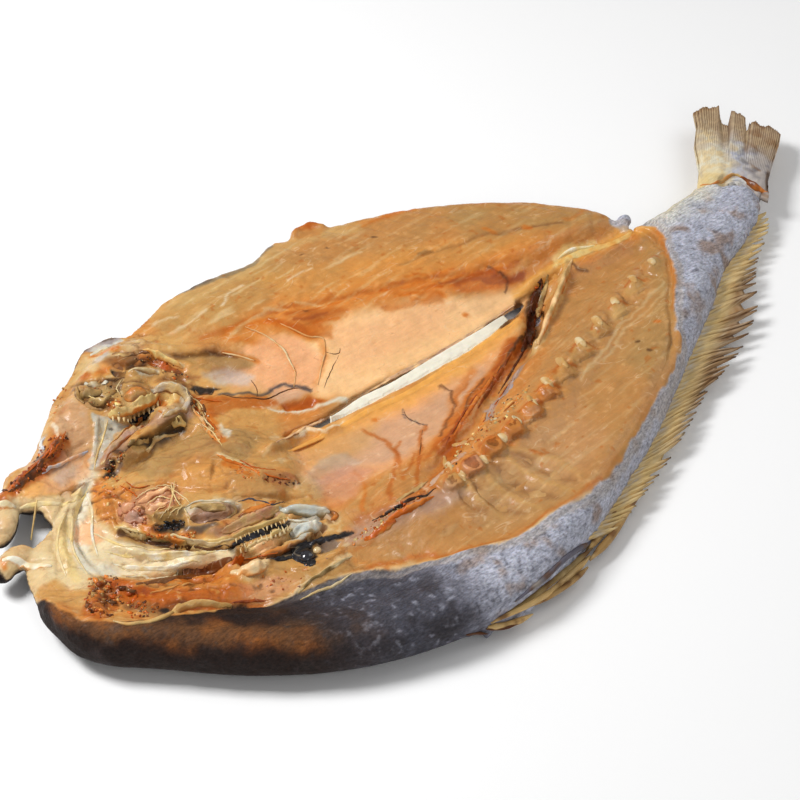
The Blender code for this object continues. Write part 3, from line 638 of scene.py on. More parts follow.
headMarks = {
    "headGround": patch("honey", 0.9, 6, [(60, 330), (150, 330), (200, 352), (262, 380), (300, 470),
        (340, 520), (340, 590), (240, 606), (120, 622), (0, 590), (0, 480)]),
    "lilacTop": patch("lilac", 0.9, 1.2, [(82, 352), (92, 343), (117, 336), (121, 341), (108, 347), (92, 352)]),
    "lilacRim": stroke("ink", 0.8, 0.5, 0.6, [(80, 354), (90, 344), (112, 336)]),
    # painted highlight: a milk-white streak along the lilac skin patch
    "lilacTopHighlight": stroke("milk", 0.8, 0.8, 0.8, [(94, 350), (106, 346), (120, 341)]),
    "farCheekCream": patch("cream", 0.7, 2.2, [(78, 372), (84, 356), (104, 350), (118, 352), (112, 364),
        (92, 372)]),
    "farCheekOrange": stroke("ember", 0.8, 1.0, 1.0, [(92, 357), (104, 352), (118, 347)]),
    "farCheekGrey": stroke("silver", 0.6, 1.2, 1.2, [(98, 360), (106, 354)]),
    "farCheekTan": patch("tan", 0.8, 1.8, [(117, 352), (126, 340), (144, 333), (150, 345), (142, 352)]),
    "farCheekCreamB": patch("cream", 0.55, 2.4, [(66, 392), (76, 378), (84, 376), (82, 392), (74, 404)]),
    "farCheekOrangeB": patch("ember", 0.5, 2.2, [(100, 362), (116, 358), (128, 362), (112, 370), (96, 374)]),
    "farCheekCreamC": patch("cream", 0.5, 2.4, [(120, 344), (134, 338), (146, 340), (140, 348), (126, 350)]),
    "leftCreamStain": patch("cream", 0.5, 2.0, [(56, 416), (66, 412), (70, 424), (64, 432), (56, 428)]),
    "streakBrown": stroke("brown", 0.75, 2.2, 2.0, [(112, 361), (130, 356), (150, 358), (165, 364)]),
    "streakDark": stroke("umber", 0.85, 1.1, 1.0, [(128, 367), (140, 362), (150, 357), (160, 360)]),
    "farEyeSpot": patch("soot", 0.95, 0.8, [(111, 371), (119, 369), (126, 370), (121, 376), (114, 375)]),
    "tendon": stroke("cream", 0.85, 0.9, 0.8, [(142, 350), (158, 356), (170, 362), (180, 367)]),
    "tendonGlow": stroke("orange", 0.7, 0.9, 1.0, [(140, 352), (150, 357), (166, 365), (182, 371)]),
    "creamOval": patch("milk", 0.85, 1.0, [(129, 372), (140, 368), (158, 370), (156, 376), (138, 377)]),
    "farBrown": patch("brown", 0.6, 2.2, [(158, 378), (182, 372), (200, 378), (196, 390), (175, 386),
        (152, 384)]),
    "farRedEdge": stroke("rust", 0.75, 1.2, 1.4, [(88, 374), (76, 384), (66, 398), (60, 410)]),
    "farOlive": patch("olive", 0.55, 2.0, [(78, 382), (98, 378), (120, 380), (121, 392), (112, 407), (92, 402),
        (80, 394)]),
    "farOliveLight": patch("straw", 0.55, 1.8, [(84, 386), (100, 382), (112, 388), (104, 398), (90, 396)]),
    "creaseA": stroke("umber", 0.8, 0.4, 0.6, [(74, 386), (84, 382), (96, 381), (115, 380), (124, 377)]),
    "creaseB": stroke("umber", 0.7, 0.4, 0.6, [(76, 388), (82, 398), (92, 405), (108, 408)]),
    "creaseC": stroke("umber", 0.7, 0.35, 0.6, [(96, 396), (108, 396), (116, 391), (122, 383)]),
    "creamCrease": stroke("cream", 0.7, 0.4, 0.5, [(123, 379), (117, 386), (120, 394)]),
    "farDome": patch("khaki", 0.7, 2.0, [(123, 384), (140, 379), (152, 386), (150, 398), (136, 405),
        (122, 402)]),
    "farDomeGlow": patch("orange", 0.55, 2.0, [(135, 392), (150, 388), (156, 396), (144, 404), (132, 404)]),
    "farCrumbRed": patch("ember", 0.85, 1.2, [(104, 404), (118, 401), (120, 408), (108, 411)]),
    # painted shade: black in the far jaw's gape
    "gapeFar": stroke("soot", 0.95, 1.0, 0.6, [(128, 423), (138, 420), (148, 415), (152, 411)]),
    "farGum": stroke("straw", 0.9, 1.9, 1.2, [(113, 416), (124, 412), (138, 408), (152, 402), (160, 397)]),
    "archInside": patch("butter", 0.8, 1.2, [(154, 398), (160, 390), (172, 391), (178, 400), (170, 410),
        (158, 408)]),
    "arch": stroke("bone", 0.95, 1.4, 0.8, [(153, 391), (162, 387), (174, 387), (183, 393), (188, 402),
        (184, 412)]),
    "archRed": stroke("rust", 0.7, 0.5, 0.8, [(156, 396), (160, 404), (166, 409)]),
    "farJaw": stroke("mauve", 0.85, 2.2, 1.2, [(186, 413), (170, 418), (150, 422), (132, 432), (116, 448),
        (104, 462)]),
    "farJawLight": stroke("straw", 0.7, 0.8, 0.9, [(184, 408), (165, 415), (148, 420), (130, 428), (114, 442)]),
    # painted shade below the far jaw: moss and black strokes along its cleft
    "farJawShade": stroke("moss", 0.85, 1.2, 1.0, [(183, 421), (168, 430), (152, 440), (136, 446)]),
    "farJawShadow": stroke("soot", 0.85, 0.6, 0.7, [(182, 426), (166, 436), (150, 441), (130, 440), (118, 452)]),
    "jawNub": patch("olive", 0.7, 1.0, [(170, 424), (176, 420), (184, 422), (180, 428), (172, 429)]),
    "khakiRoof": patch("khaki", 0.9, 3.0, [(124, 456), (150, 444), (176, 434), (205, 426), (236, 428),
        (262, 440), (240, 462), (190, 470), (150, 480), (124, 476)]),
    "roofTan": patch("tan", 0.6, 3.0, [(190, 440), (215, 432), (240, 446), (222, 458), (196, 462)]),
    "amberLobe": patch("amber", 0.6, 5.0, [(174, 462), (200, 455), (224, 458), (234, 474), (226, 492),
        (178, 490)]),
    "amberGlow": stroke("glow", 0.3, 2.6, 3.6, [(188, 472), (204, 468), (216, 472)]),
    "lobeTanRight": patch("tan", 0.7, 2.4, [(222, 470), (250, 464), (280, 470), (300, 484), (270, 496),
        (230, 494)]),
    "crumbStreak": stroke("ember", 0.75, 0.9, 1.0, [(222, 462), (232, 466), (240, 472), (250, 476)]),
    "roofLine": stroke("cream", 0.7, 0.35, 0.5, [(216, 455), (232, 460), (246, 464), (256, 466)]),
    "blackPatchA": patch("soot", 0.95, 0.9, [(104, 468), (107, 462), (115, 460), (117, 466), (112, 471)]),
    "blackPatchB": patch("soot", 0.95, 0.9, [(100, 477), (108, 473), (116, 472), (117, 477), (106, 480)]),
    "blackEdge": stroke("slate", 0.7, 0.5, 0.6, [(119, 462), (122, 468), (118, 474)]),
    "blackGold": stroke("brown", 0.7, 1.2, 1.0, [(100, 470), (112, 458), (128, 448)]),
    "lobeRosyLeft": patch("orange", 0.7, 2.6, [(92, 478), (108, 486), (112, 505), (112, 526), (92, 520),
        (86, 498)]),
    "rosyFibres": patch("rose", 0.75, 2.0, [(136, 494), (150, 486), (176, 484), (182, 494), (172, 505),
        (150, 510)]),
    "rosyLobe": patch("rose", 0.8, 1.8, [(113, 506), (128, 500), (146, 508), (150, 522), (136, 528),
        (118, 522)]),
    "emberCrumbs": patch("ember", 0.5, 2.0, [(102, 494), (124, 484), (136, 492), (128, 504), (110, 504)]),
    "mossFibres": patch("olive", 0.7, 1.8, [(148, 514), (164, 508), (186, 507), (184, 514), (166, 520),
        (152, 520)]),
    "roofBlackA": patch("soot", 0.92, 1.0, [(151, 530), (154, 524), (168, 520), (184, 518), (186, 524),
        (176, 530), (164, 532)]),
    "roofBlackB": stroke("ink", 0.7, 0.8, 0.8, [(188, 526), (200, 529), (212, 524)]),
    "mauveRidge": patch("mauve", 0.8, 1.6, [(186, 510), (210, 506), (236, 505), (238, 512), (222, 520),
        (194, 520)]),
    "paleRidge": stroke("bone", 0.7, 1.0, 0.9, [(188, 508), (204, 504), (222, 502), (236, 506)]),
    "crumbLip": stroke("ember", 0.6, 1.2, 1.2, [(146, 528), (160, 535), (176, 537), (190, 533)]),
    "jawPink": patch("mauve", 0.75, 1.8, [(206, 534), (226, 522), (252, 512), (280, 506), (284, 512),
        (262, 522), (240, 532), (220, 538)]),
    "lip": stroke("butter", 0.9, 0.7, 0.6, [(117, 526), (130, 532), (149, 537), (175, 541), (201, 543),
        (223, 541), (236, 535), (252, 529), (273, 521), (286, 511)]),
    # painted shade: a dark umber stroke under the lip
    "underLip": stroke("umber", 0.85, 0.7, 0.7, [(120, 532), (149, 541), (175, 545), (201, 547), (226, 545),
        (238, 542)]),
    # painted shade: black in the near jaw's gape, between the teeth
    "gape": stroke("soot", 0.98, 1.3, 0.6, [(232, 544), (242, 539), (255, 533), (268, 528), (286, 523)]),
    "iceUpper": patch("iceBone", 0.95, 0.8, [(284, 514), (300, 506), (326, 507), (333, 512), (318, 517),
        (296, 518)]),
    "iceLower": patch("iceBone", 0.95, 0.8, [(290, 524), (300, 520), (322, 519), (314, 530), (304, 539),
        (291, 541)]),
    "jawGold": patch("straw", 0.85, 1.2, [(242, 550), (258, 541), (280, 531), (292, 528), (292, 544),
        (270, 550)]),
    "jawTip": patch("brown", 0.8, 1.0, [(330, 510), (338, 513), (336, 520), (328, 522)]),
    "jawBandLow": patch("orange", 0.7, 1.6, [(226, 560), (250, 553), (292, 546), (306, 542), (300, 550),
        (262, 560), (236, 566)]),
    "jawCleft": stroke("walnut", 0.8, 0.5, 0.7, [(235, 556), (262, 556), (290, 549), (310, 538), (324, 524)]),
    "eyeBand": stroke("soot", 0.95, 1.0, 0.7, [(268, 558), (283, 559), (294, 553), (304, 545), (318, 539),
        (334, 536), (352, 533)]),
    "eyePatch": patch("soot", 0.9, 0.9, [(296, 553), (304, 546), (314, 548), (318, 556), (312, 566),
        (300, 563)]),
    "eyeGrey": patch("slate", 0.7, 1.4, [(316, 544), (334, 538), (344, 540), (330, 548), (320, 552)]),
    "creamCheek": patch("cream", 0.9, 1.4, [(229, 566), (242, 562), (268, 561), (264, 572), (250, 579),
        (236, 578)]),
    "cheekGlow": patch("ember", 0.45, 3.0, [(140, 588), (200, 580), (236, 575), (230, 592), (190, 604),
        (146, 606)]),
    "cheekBand": stroke("ember", 0.6, 3.4, 3.0, [(100, 582), (140, 590), (190, 582), (232, 572)]),
    "cheekRust": stroke("rust", 0.85, 3.0, 3.0, [(104, 586), (128, 594), (160, 600), (200, 596), (240, 590)]),
    "cheekUmber": stroke("walnut", 0.6, 1.6, 2.0, [(130, 606), (156, 610), (180, 606)]),
    "cheekLine": stroke("straw", 0.6, 0.4, 0.6, [(138, 589), (160, 587), (182, 583)]),
    "cheekRosy": patch("rose", 0.6, 2.6, [(236, 584), (262, 578), (300, 576), (300, 592), (270, 600),
        (240, 598)]),
    "cheekRedEdge": stroke("rust", 0.8, 0.7, 1.0, [(189, 606), (220, 604), (252, 603), (270, 602)]),
    "crustKnob": patch("rust", 0.75, 1.6, [(90, 578), (104, 578), (122, 590), (116, 610), (100, 620),
        (82, 616), (90, 596)]),
    "crustHole": patch("walnut", 0.6, 1.4, [(100, 588), (110, 586), (112, 600), (104, 608), (96, 604)]),
    "blackDot": stroke("soot", 0.95, 0.9, 0.6, [(163, 608), (167, 608)]),
    "olivePanel": patch("khaki", 0.7, 2.0, [(298, 596), (306, 580), (330, 566), (352, 560), (366, 568),
        (330, 584)]),
    "olivePanelEdge": stroke("cream", 0.8, 0.5, 0.6, [(295, 598), (300, 588), (312, 582), (337, 564),
        (352, 556)]),
    "lipBottom": stroke("cream", 0.8, 1.2, 1.2, [(270, 604), (296, 602), (320, 594), (350, 590)]),
    "throatNear": patch("ivory", 0.8, 2.0, [(104, 534), (118, 540), (150, 548), (190, 549), (236, 548),
        (238, 556), (205, 570), (172, 576), (124, 578), (100, 566), (94, 548)]),
    "throatCream": stroke("butter", 0.35, 0.8, 1.2, [(110, 548), (140, 554), (180, 553), (226, 550)]),
    "throatCreamB": stroke("butter", 0.3, 0.7, 1.2, [(112, 562), (150, 568), (190, 567)]),
    "throatShade": stroke("olive", 0.35, 0.8, 1.2, [(122, 541), (140, 545), (160, 546)]),
    "throatFold": stroke("tan", 0.75, 1.0, 1.2, [(128, 576), (160, 575), (186, 570), (212, 566)]),
    "throatMid": patch("cream", 0.9, 3.0, [(30, 552), (46, 530), (56, 512), (70, 498), (86, 474), (92, 486),
        (96, 510), (100, 524), (114, 534), (116, 546), (106, 574), (86, 592), (66, 592), (48, 572)]),
    "throatMidWhite": stroke("milk", 0.85, 2.0, 2.2, [(90, 474), (84, 496), (78, 516), (76, 540), (88, 566),
        (110, 574)]),
    "throatYellow": stroke("butter", 0.75, 1.2, 1.6, [(80, 492), (66, 520), (64, 550), (74, 580)]),
    "throatRosy": patch("blush", 0.8, 2.4, [(76, 524), (88, 516), (98, 528), (104, 540), (86, 546), (76, 540)]),
    "throatFar": patch("iceBone", 0.95, 0.9, [(94, 412), (104, 416), (116, 422), (129, 425), (120, 432),
        (108, 448), (96, 470), (91, 470), (92, 448), (94, 430)]),
    "throatFarLine": stroke("cream", 0.8, 0.4, 0.5, [(107, 420), (100, 440), (95, 462)]),
    "throatDot": stroke("soot", 0.9, 0.4, 0.4, [(110, 431), (112, 431)]),
    "leftSkin": patch("clay", 0.75, 2.4, [(62, 400), (90, 408), (92, 448), (78, 462), (60, 468), (56, 448),
        (50, 430)]),
    "leftPanel": patch("blush", 0.8, 2.4, [(38, 476), (66, 462), (92, 450), (92, 474), (66, 490), (40, 494),
        (24, 500)]),
    "knobA": patch("cream", 0.9, 2.0, [(-24, 486), (14, 488), (22, 506), (20, 540), (-24, 552)]),
    "knobB": patch("cream", 0.9, 2.0, [(-24, 546), (30, 546), (54, 556), (56, 578), (24, 594), (-24, 602)]),
    "knobSpot": stroke("ember", 0.8, 0.9, 1.2, [(2, 562), (5, 568)]),
    "panelLilac": patch("silver", 0.45, 3.0, [(48, 476), (70, 466), (84, 462), (80, 476), (60, 484)]),
    "leftPanelGlow": patch("glow", 0.6, 2.0, [(22, 496), (30, 482), (44, 480), (44, 492), (32, 502)]),
    "leftPanelLine": stroke("slate", 0.6, 0.5, 0.8, [(44, 472), (56, 467), (70, 462)]),
    "leftPanelCleft": stroke("brown", 0.8, 0.4, 0.5, [(70, 491), (80, 487), (86, 484)]),
    "rustCrust": stroke("rust", 0.95, 2.2, 1.4, [(62, 438), (54, 454), (40, 468), (28, 478), (14, 490),
        (4, 500)]),
    "rustCore": stroke("brick", 0.8, 1.0, 1.2, [(58, 448), (44, 462), (30, 474), (16, 486)]),
    "rustBlack": stroke("umber", 0.9, 0.8, 0.7, [(36, 460), (42, 458)]),
    "rustCream": stroke("ivory", 0.8, 0.6, 0.8, [(54, 424), (58, 434), (62, 440)]),
    "glassSpeck": stroke("silver", 0.8, 0.7, 0.6, [(42, 438), (40, 446), (43, 452)]),
    "leftRim": stroke("straw", 0.6, 1.2, 1.6, [(84, 366), (74, 386), (62, 404), (50, 420), (44, 436)]),
    "creamArm": patch("cream", 0.85, 2.0, [(8, 500), (40, 496), (74, 494), (80, 508), (62, 524), (40, 530),
        (12, 530)]),
    "creamNub": patch("milk", 0.9, 1.0, [(214, 427), (220, 423), (230, 432), (226, 440), (218, 436)]),
    "fibreBrown": stroke("walnut", 0.7, 0.6, 0.9, [(186, 388), (190, 404), (200, 414), (206, 424)]),
    "fibreRust": stroke("ember", 0.7, 0.8, 1.2, [(194, 402), (204, 414), (214, 424), (222, 444)]),
}


# Relief: height (a groove below zero) and half width in millimetres, along a line on the fish.
def welt(height, wide, points, taper=0.12):
    return {"height": height, "wide": wide, "line": points, "taper": taper}


bodyWelts = {
    "fatRoll": welt(1.3, 2.2, [(650, 226), (625, 238), (600, 250), (575, 258), (558, 266), (540, 280),
        (524, 292)]),
    "underFat": welt(-2.0, 1.1, [(507, 320), (522, 303), (537, 288), (550, 278), (562, 268)]),
    "kidneyGroove": welt(-1.2, 2.0, [(552, 268), (541, 290), (533, 320), (515, 360), (498, 388), (476, 420)]),
    "rod": welt(1.4, 0.9, [(568, 262), (560, 290), (553, 310), (545, 325), (540, 340), (530, 355)]),
    "seam": welt(-0.5, 0.7, [(400, 264), (425, 254), (440, 250), (460, 244), (475, 237), (490, 233),
        (510, 232), (545, 224), (560, 222)]),
    "foldCrease": welt(-0.8, 1.4, [(240, 322), (290, 308), (345, 299), (400, 284), (450, 276), (490, 266),
        (530, 258)]),
    "foldRoll": welt(0.9, 3.0, [(262, 326), (300, 318), (350, 309), (400, 298), (450, 291), (500, 284)]),
    "tab": welt(1.6, 1.6, [(293, 240), (300, 230), (312, 226), (329, 229)]),
    "slitFar": welt(0.4, 1.1, [(350, 400), (370, 388), (410, 370), (450, 348), (490, 324)]),
    "slitNear": welt(0.4, 1.2, [(350, 418), (370, 408), (410, 388), (450, 365), (490, 338)]),
    "slitShut": welt(2.6, 1.7, [(262, 454), (278, 447), (292, 440), (306, 433), (324, 424), (340, 415)], 0.1),
    "edgeSkin": welt(0.8, 1.0, [(612, 228), (640, 229), (660, 236), (672, 258), (677, 280), (674, 304),
        (677, 322), (680, 340), (673, 368), (655, 405)]),
    "edgeSkinCleft": welt(-1.0, 0.8, [(616, 232), (640, 233), (656, 240), (667, 258), (671, 282), (668, 306),
        (671, 326), (673, 342), (666, 366)]),
    "rimLip": welt(0.9, 1.3, [(600, 480), (560, 511), (520, 540), (450, 558), (380, 571), (330, 583),
        (290, 600)]),
    "membraneEdge": welt(0.6, 0.7, [(258, 403), (268, 411), (280, 413), (300, 412), (312, 410), (330, 403)]),
    "brownHollow": welt(-1.6, 2.2, [(282, 407), (300, 404), (318, 404)]),
    "bluePit": welt(-1.5, 1.2, [(194, 391), (204, 390), (214, 391)]),
    "farPanelStep": welt(-0.7, 0.9, [(172, 357), (195, 358), (219, 356), (234, 359)]),
    "farPanelRoll": welt(1.2, 2.0, [(150, 352), (172, 351), (200, 350), (222, 349)]),
    "nearHollow": welt(-1.5, 2.0, [(264, 478), (280, 480), (297, 483)]),
    "nearMembraneRoll": welt(0.9, 2.4, [(302, 480), (322, 466), (350, 455)]),
    "ribA": welt(0.7, 1.7, [(506, 446), (527, 451), (553, 459), (578, 476)], 0.35),
    "ribB": welt(1.1, 1.9, [(504, 453), (515, 466), (538, 480), (568, 491)], 0.35),
    "ribC": welt(1.2, 2.0, [(481, 462), (494, 486), (515, 499), (542, 510)], 0.35),
    "ribD": welt(1.0, 2.0, [(461, 474), (478, 499), (502, 517)], 0.35),
    "ribE": welt(0.7, 1.8, [(446, 488), (456, 504), (470, 520), (482, 528)], 0.35),
    "ribF": welt(0.6, 1.6, [(414, 512), (430, 520), (446, 532)]),
    "valleyA": welt(-0.7, 1.3, [(516, 452), (532, 464), (556, 476), (574, 482)], 0.35),
    "valleyB": welt(-0.9, 1.4, [(491, 460), (508, 479), (528, 491), (556, 499)], 0.35),
    "valleyC": welt(-0.9, 1.4, [(469, 472), (481, 493), (501, 507), (520, 514)], 0.35),
    "valleyD": welt(-0.7, 1.3, [(452, 482), (466, 500), (482, 514)], 0.35),
    "spineCleft": welt(-1.6, 1.3, [(432, 489), (424, 495), (413, 498), (404, 504), (391, 510), (372, 520)]),
    "spineRoll": welt(1.0, 1.2, [(432, 497), (414, 506), (402, 512), (390, 519), (376, 530)]),
    "backCleft": welt(-0.8, 1.6, [(606, 288), (582, 312), (562, 336), (545, 354), (526, 378), (510, 396),
        (496, 410), (480, 426), (460, 440), (444, 456), (430, 474)]),
}

headWelts = {
    "streakCleft": welt(-1.8, 1.2, [(112, 364), (128, 366), (142, 361), (160, 361)]),
    "tendon": welt(1.5, 1.2, [(142, 350), (158, 356), (170, 362), (184, 368)]),
    "creamOval": welt(1.4, 1.6, [(129, 374), (142, 371), (158, 373)]),
    "farEyeSpot": welt(-1.8, 1.4, [(112, 373), (120, 371), (127, 370)]),
    "creaseA": welt(-1.4, 0.8, [(74, 386), (84, 382), (96, 381), (115, 380), (126, 376)]),
    "creaseB": welt(-1.4, 0.8, [(76, 388), (82, 398), (92, 405), (108, 408)]),
    "creaseC": welt(-1.2, 0.8, [(94, 396), (108, 396), (116, 391), (122, 383)]),
    "oliveRoll": welt(1.3, 2.0, [(84, 390), (96, 387), (110, 386)]),
    "oliveRollB": welt(1.2, 1.8, [(88, 401), (100, 401), (112, 400)]),
    "farDome": welt(1.6, 3.4, [(128, 392), (140, 390), (150, 391)]),
    "gumRoll": welt(2.2, 1.8, [(110, 414), (124, 411), (138, 407), (152, 401), (162, 395)]),
    "gapeFar": welt(-3.4, 1.3, [(128, 424), (138, 421), (148, 416), (155, 411)]),
    "arch": welt(2.2, 1.5, [(153, 392), (162, 387), (174, 387), (183, 393), (188, 402), (184, 413)]),
    "archHollow": welt(-1.6, 1.4, [(158, 400), (166, 397), (174, 400)]),
    "farJaw": welt(2.0, 2.2, [(186, 412), (170, 417), (150, 421), (132, 431), (116, 446), (104, 460)]),
    "farJawCleft": welt(-3.0, 1.4, [(186, 424), (166, 434), (150, 441), (130, 443), (114, 456)]),
    "roofFold": welt(1.2, 1.2, [(130, 460), (148, 444), (160, 440), (176, 433)]),
    "roofFoldB": welt(-1.0, 1.0, [(140, 462), (154, 449), (168, 441)]),
    "roofRidge": welt(1.2, 2.4, [(150, 476), (190, 460), (226, 448), (250, 444)]),
    "amberLobe": welt(1.6, 4.0, [(186, 476), (200, 472), (214, 472)]),
    "amberCleft": welt(-1.2, 0.9, [(178, 488), (200, 490), (224, 489), (234, 480)]),
    "roofLine": welt(0.7, 0.7, [(216, 455), (232, 460), (246, 464), (256, 466)]),
    "lobeCleft": welt(-1.6, 1.0, [(232, 498), (255, 498), (285, 499), (308, 496)]),
    "blackA": welt(-2.4, 1.6, [(108, 464), (113, 467), (107, 475)]),
    "rosyRoll": welt(1.5, 2.6, [(142, 496), (156, 492), (172, 492)]),
    "rosyCleft": welt(-1.6, 1.0, [(130, 498), (146, 488), (166, 484), (184, 490)]),
    "rosyCleftB": welt(-1.6, 1.0, [(146, 510), (164, 506), (184, 500)]),
    "rosyLobe": welt(1.8, 3.0, [(120, 512), (132, 510), (142, 515)]),
    "rosyLobeCleft": welt(-1.8, 0.9, [(110, 502), (114, 514), (120, 527)]),
    "rosyLobeCleftB": welt(-1.6, 0.9, [(130, 500), (144, 506), (151, 516), (150, 526)]),
    "leftLobe": welt(1.4, 3.6, [(98, 488), (100, 502), (102, 516)]),
    "mossRoll": welt(1.0, 1.4, [(150, 517), (166, 513), (184, 509)]),
    "roofBlack": welt(-2.2, 1.8, [(152, 528), (168, 524), (186, 521)]),
    "mauveRidge": welt(1.6, 1.5, [(188, 511), (210, 507), (236, 505)]),
    "mauveCleft": welt(-1.6, 0.9, [(190, 522), (212, 520), (232, 516), (244, 508)]),
    "lip": welt(1.5, 0.9, [(117, 526), (130, 532), (149, 537), (175, 541), (201, 543), (223, 541), (236, 535),
        (252, 529), (273, 521), (286, 511)]),
    "underLip": welt(-3.4, 1.3, [(117, 532), (149, 542), (175, 546), (201, 548), (226, 546), (240, 541)]),
    "gape": welt(-3.6, 1.6, [(234, 543), (246, 538), (258, 532), (270, 527), (288, 522)]),
    "jawPink": welt(1.2, 1.6, [(210, 532), (236, 521), (262, 511), (284, 504)]),
    "iceUpper": welt(1.6, 1.6, [(286, 513), (304, 510), (330, 511)]),
    "iceLower": welt(1.6, 1.8, [(292, 532), (304, 527), (318, 522)]),
    "iceCleft": welt(-1.6, 0.7, [(290, 520), (306, 518), (328, 516)]),
    "jawGold": welt(1.4, 2.0, [(246, 550), (264, 542), (284, 536)]),
    "jawUnder": welt(-2.4, 1.1, [(236, 557), (262, 556), (290, 550), (310, 540), (326, 526)]),
    "eyeHollow": welt(-2.0, 1.8, [(270, 559), (290, 556), (306, 556), (320, 548), (346, 538)]),
    "eyeRim": welt(1.2, 1.4, [(292, 568), (310, 570), (326, 560), (346, 546)]),
    "creamCheek": welt(1.8, 2.8, [(238, 572), (250, 570), (262, 567)]),
    "cheekTop": welt(1.6, 2.6, [(102, 580), (140, 588), (190, 580), (232, 570)]),
    "cheekCleft": welt(-1.4, 1.0, [(120, 594), (160, 592), (200, 588), (236, 582)]),
    "cheekRollB": welt(1.2, 2.2, [(130, 602), (170, 600), (220, 592)]),
    "crustKnob": welt(2.2, 3.0, [(98, 582), (104, 592), (98, 606), (90, 612)]),
    "crustHole": welt(-2.2, 1.6, [(106, 586), (110, 594), (106, 602)]),
    "skinCleft": welt(-2.0, 1.0, [(120, 616), (150, 614), (189, 607), (220, 605), (252, 604), (276, 603)]),
    "olivePanel": welt(1.0, 3.0, [(308, 588), (330, 574), (352, 564)]),
    "olivePanelEdge": welt(0.9, 0.7, [(295, 598), (300, 588), (312, 582), (337, 564), (352, 556)]),
    "throatPleatA": welt(0.9, 1.0, [(110, 545), (140, 552), (180, 551), (230, 548)]),
    "throatPleatB": welt(-0.9, 0.8, [(110, 552), (140, 558), (180, 558), (222, 556)]),
    "throatPleatC": welt(0.9, 0.9, [(112, 560), (140, 566), (180, 566), (216, 562)]),
    "throatPleatD": welt(-1.6, 0.9, [(126, 578), (160, 577), (190, 572), (216, 567)]),
    "throatFarA": welt(0.8, 0.8, [(98, 416), (97, 436), (93, 466)]),
    "throatFarB": welt(-0.6, 0.7, [(106, 420), (100, 440), (95, 462)]),
    "midPleatA": welt(0.9, 0.9, [(90, 478), (80, 492), (72, 512), (72, 540), (80, 568)]),
    "midPleatB": welt(-0.8, 0.8, [(91, 482), (84, 496), (78, 514), (78, 540), (86, 560)]),
    "midPleatC": welt(0.8, 0.9, [(86, 484), (70, 500), (62, 520), (62, 548), (70, 576)]),
    "midPleatD": welt(-0.8, 0.8, [(80, 488), (64, 504), (55, 524), (54, 548), (60, 572)]),
    "rustCrust": welt(2.0, 2.0, [(62, 438), (54, 454), (40, 467), (28, 477), (12, 491)]),
    "leftFold": welt(1.0, 1.2, [(44, 473), (60, 463), (76, 455), (90, 447)]),
    "leftFoldB": welt(-1.0, 1.0, [(48, 468), (60, 459), (74, 450), (88, 442)]),
    "panelCleft": welt(-1.4, 0.7, [(62, 496), (72, 491), (84, 485)]),
    "farShoulder": welt(1.2, 2.0, [(148, 344), (166, 350), (182, 360), (196, 372)]),
}


vertebraSet = [    # middle, half its size, height, colours of the body and its belly side, pale tip's line
    ((655, 262), 2.2, 0.6, "straw", "khaki", [(648, 259), (655, 265)]),
    ((636, 288), 3.6, 1.2, "khaki", "honey", [(628, 276), (636, 283)]),
    ((618, 311), 3.8, 1.4, "straw", "honey", [(611, 298), (619, 304)]),
    ((600, 331), 4.0, 1.5, "brown", "honey", [(592, 317), (602, 325)]),
    ((582, 353), 4.1, 1.7, "brown", "honey", [(575, 338), (586, 347)]),
    ((564, 373), 4.2, 1.8, "brown", "honey", [(556, 358), (568, 368)]),
    ((548, 392), 4.3, 1.9, "brown", "orange", [(541, 378), (553, 387)]),
    ((532, 411), 4.3, 2.0, "mauve", "orange", [(527, 396), (538, 405)]),
    ((514, 430), 4.4, 2.1, "brown", "orange", [(512, 416), (522, 424)]),
    ((494, 446), 4.3, 2.0, "brown", "orange", [(498, 434), (507, 442)]),
    ((473, 465), 4.0, 1.7, "orange", "rose", [(480, 456), (488, 464)]),
    ((454, 481), 3.4, 1.4, "orange", "honey", [(459, 473), (465, 481)]),
]
fibreSet = [    # short red fibres on the far half's fold: start, length along the body, colour
    ((284, 315), 34, "rust"), ((300, 309), 40, "ember"), ((292, 321), 36, "brick"), ((312, 324), 26, "ember"),
    ((378, 288), 46, "ember"), ((388, 282), 60, "rust"), ((396, 296), 44, "ember"), ((420, 290), 40, "rust"),
    ((404, 276), 50, "ember"), ((440, 284), 58, "brick"), ((458, 276), 40, "rust"), ((462, 290), 36, "ember"),
    ((480, 270), 40, "rust"), ((486, 282), 38, "brick"), ((412, 302), 30, "ember"), ((350, 300), 40, "orange"),
]
for number, ((px, py), long, tone) in enumerate(fibreSet):
    line = [(px, py), (px + long / 2, py - long * 0.04), (px + long, py - long * 0.14)]
    bodyMarks["foldFibre%d" % number] = stroke(tone, 0.6, 0.35, 0.9, line)
for number, ((px, py), wide, high, tone, side, tip) in enumerate(vertebraSet):
    step = wide / 0.39
    turns = np.linspace(0, 5.5, 8)
    ring = [(px + step * (math.cos(a) - 0.3 * math.sin(a)), py + step * math.sin(a)) for a in turns]
    core = [(px + (a - px) * 0.6, py + (b - py) * 0.6 + 3) for a, b in ring]
    bodyMarks["vertebra%d" % number] = patch(side, 0.8, 2.2, ring)
    bodyMarks["vertebraCore%d" % number] = patch(tone, 0.42, 2.6, core)
    bodyMarks["vertebraRim%d" % number] = stroke("rust", 0.7, 0.3, 0.9, ring[4:8])
    bodyWelts["vertebra%d" % number] = welt(high, wide * 0.84, [(px - 5, py - 5), (px + 5, py + 5)], 0.02)
    bodyWelts["gap%d" % number] = welt(-1.1, 0.9, [(px - 18, py + 4), (px - 11, py + 11), (px + 4, py + 16)], 0.2)


def noisyPlace(points, seed):
    # the place of each point with a small wander, so that painted edges aren't ruled lines
    wander = np.stack([cloud(points, 9.0, seed, 2) * 1.0 + cloud(points, 2.6, seed + 1, 2) * 0.55,
                       cloud(points, 9.0, seed + 2, 2) * 1.0 + cloud(points, 2.6, seed + 3, 2) * 0.55], 1)
    return wander


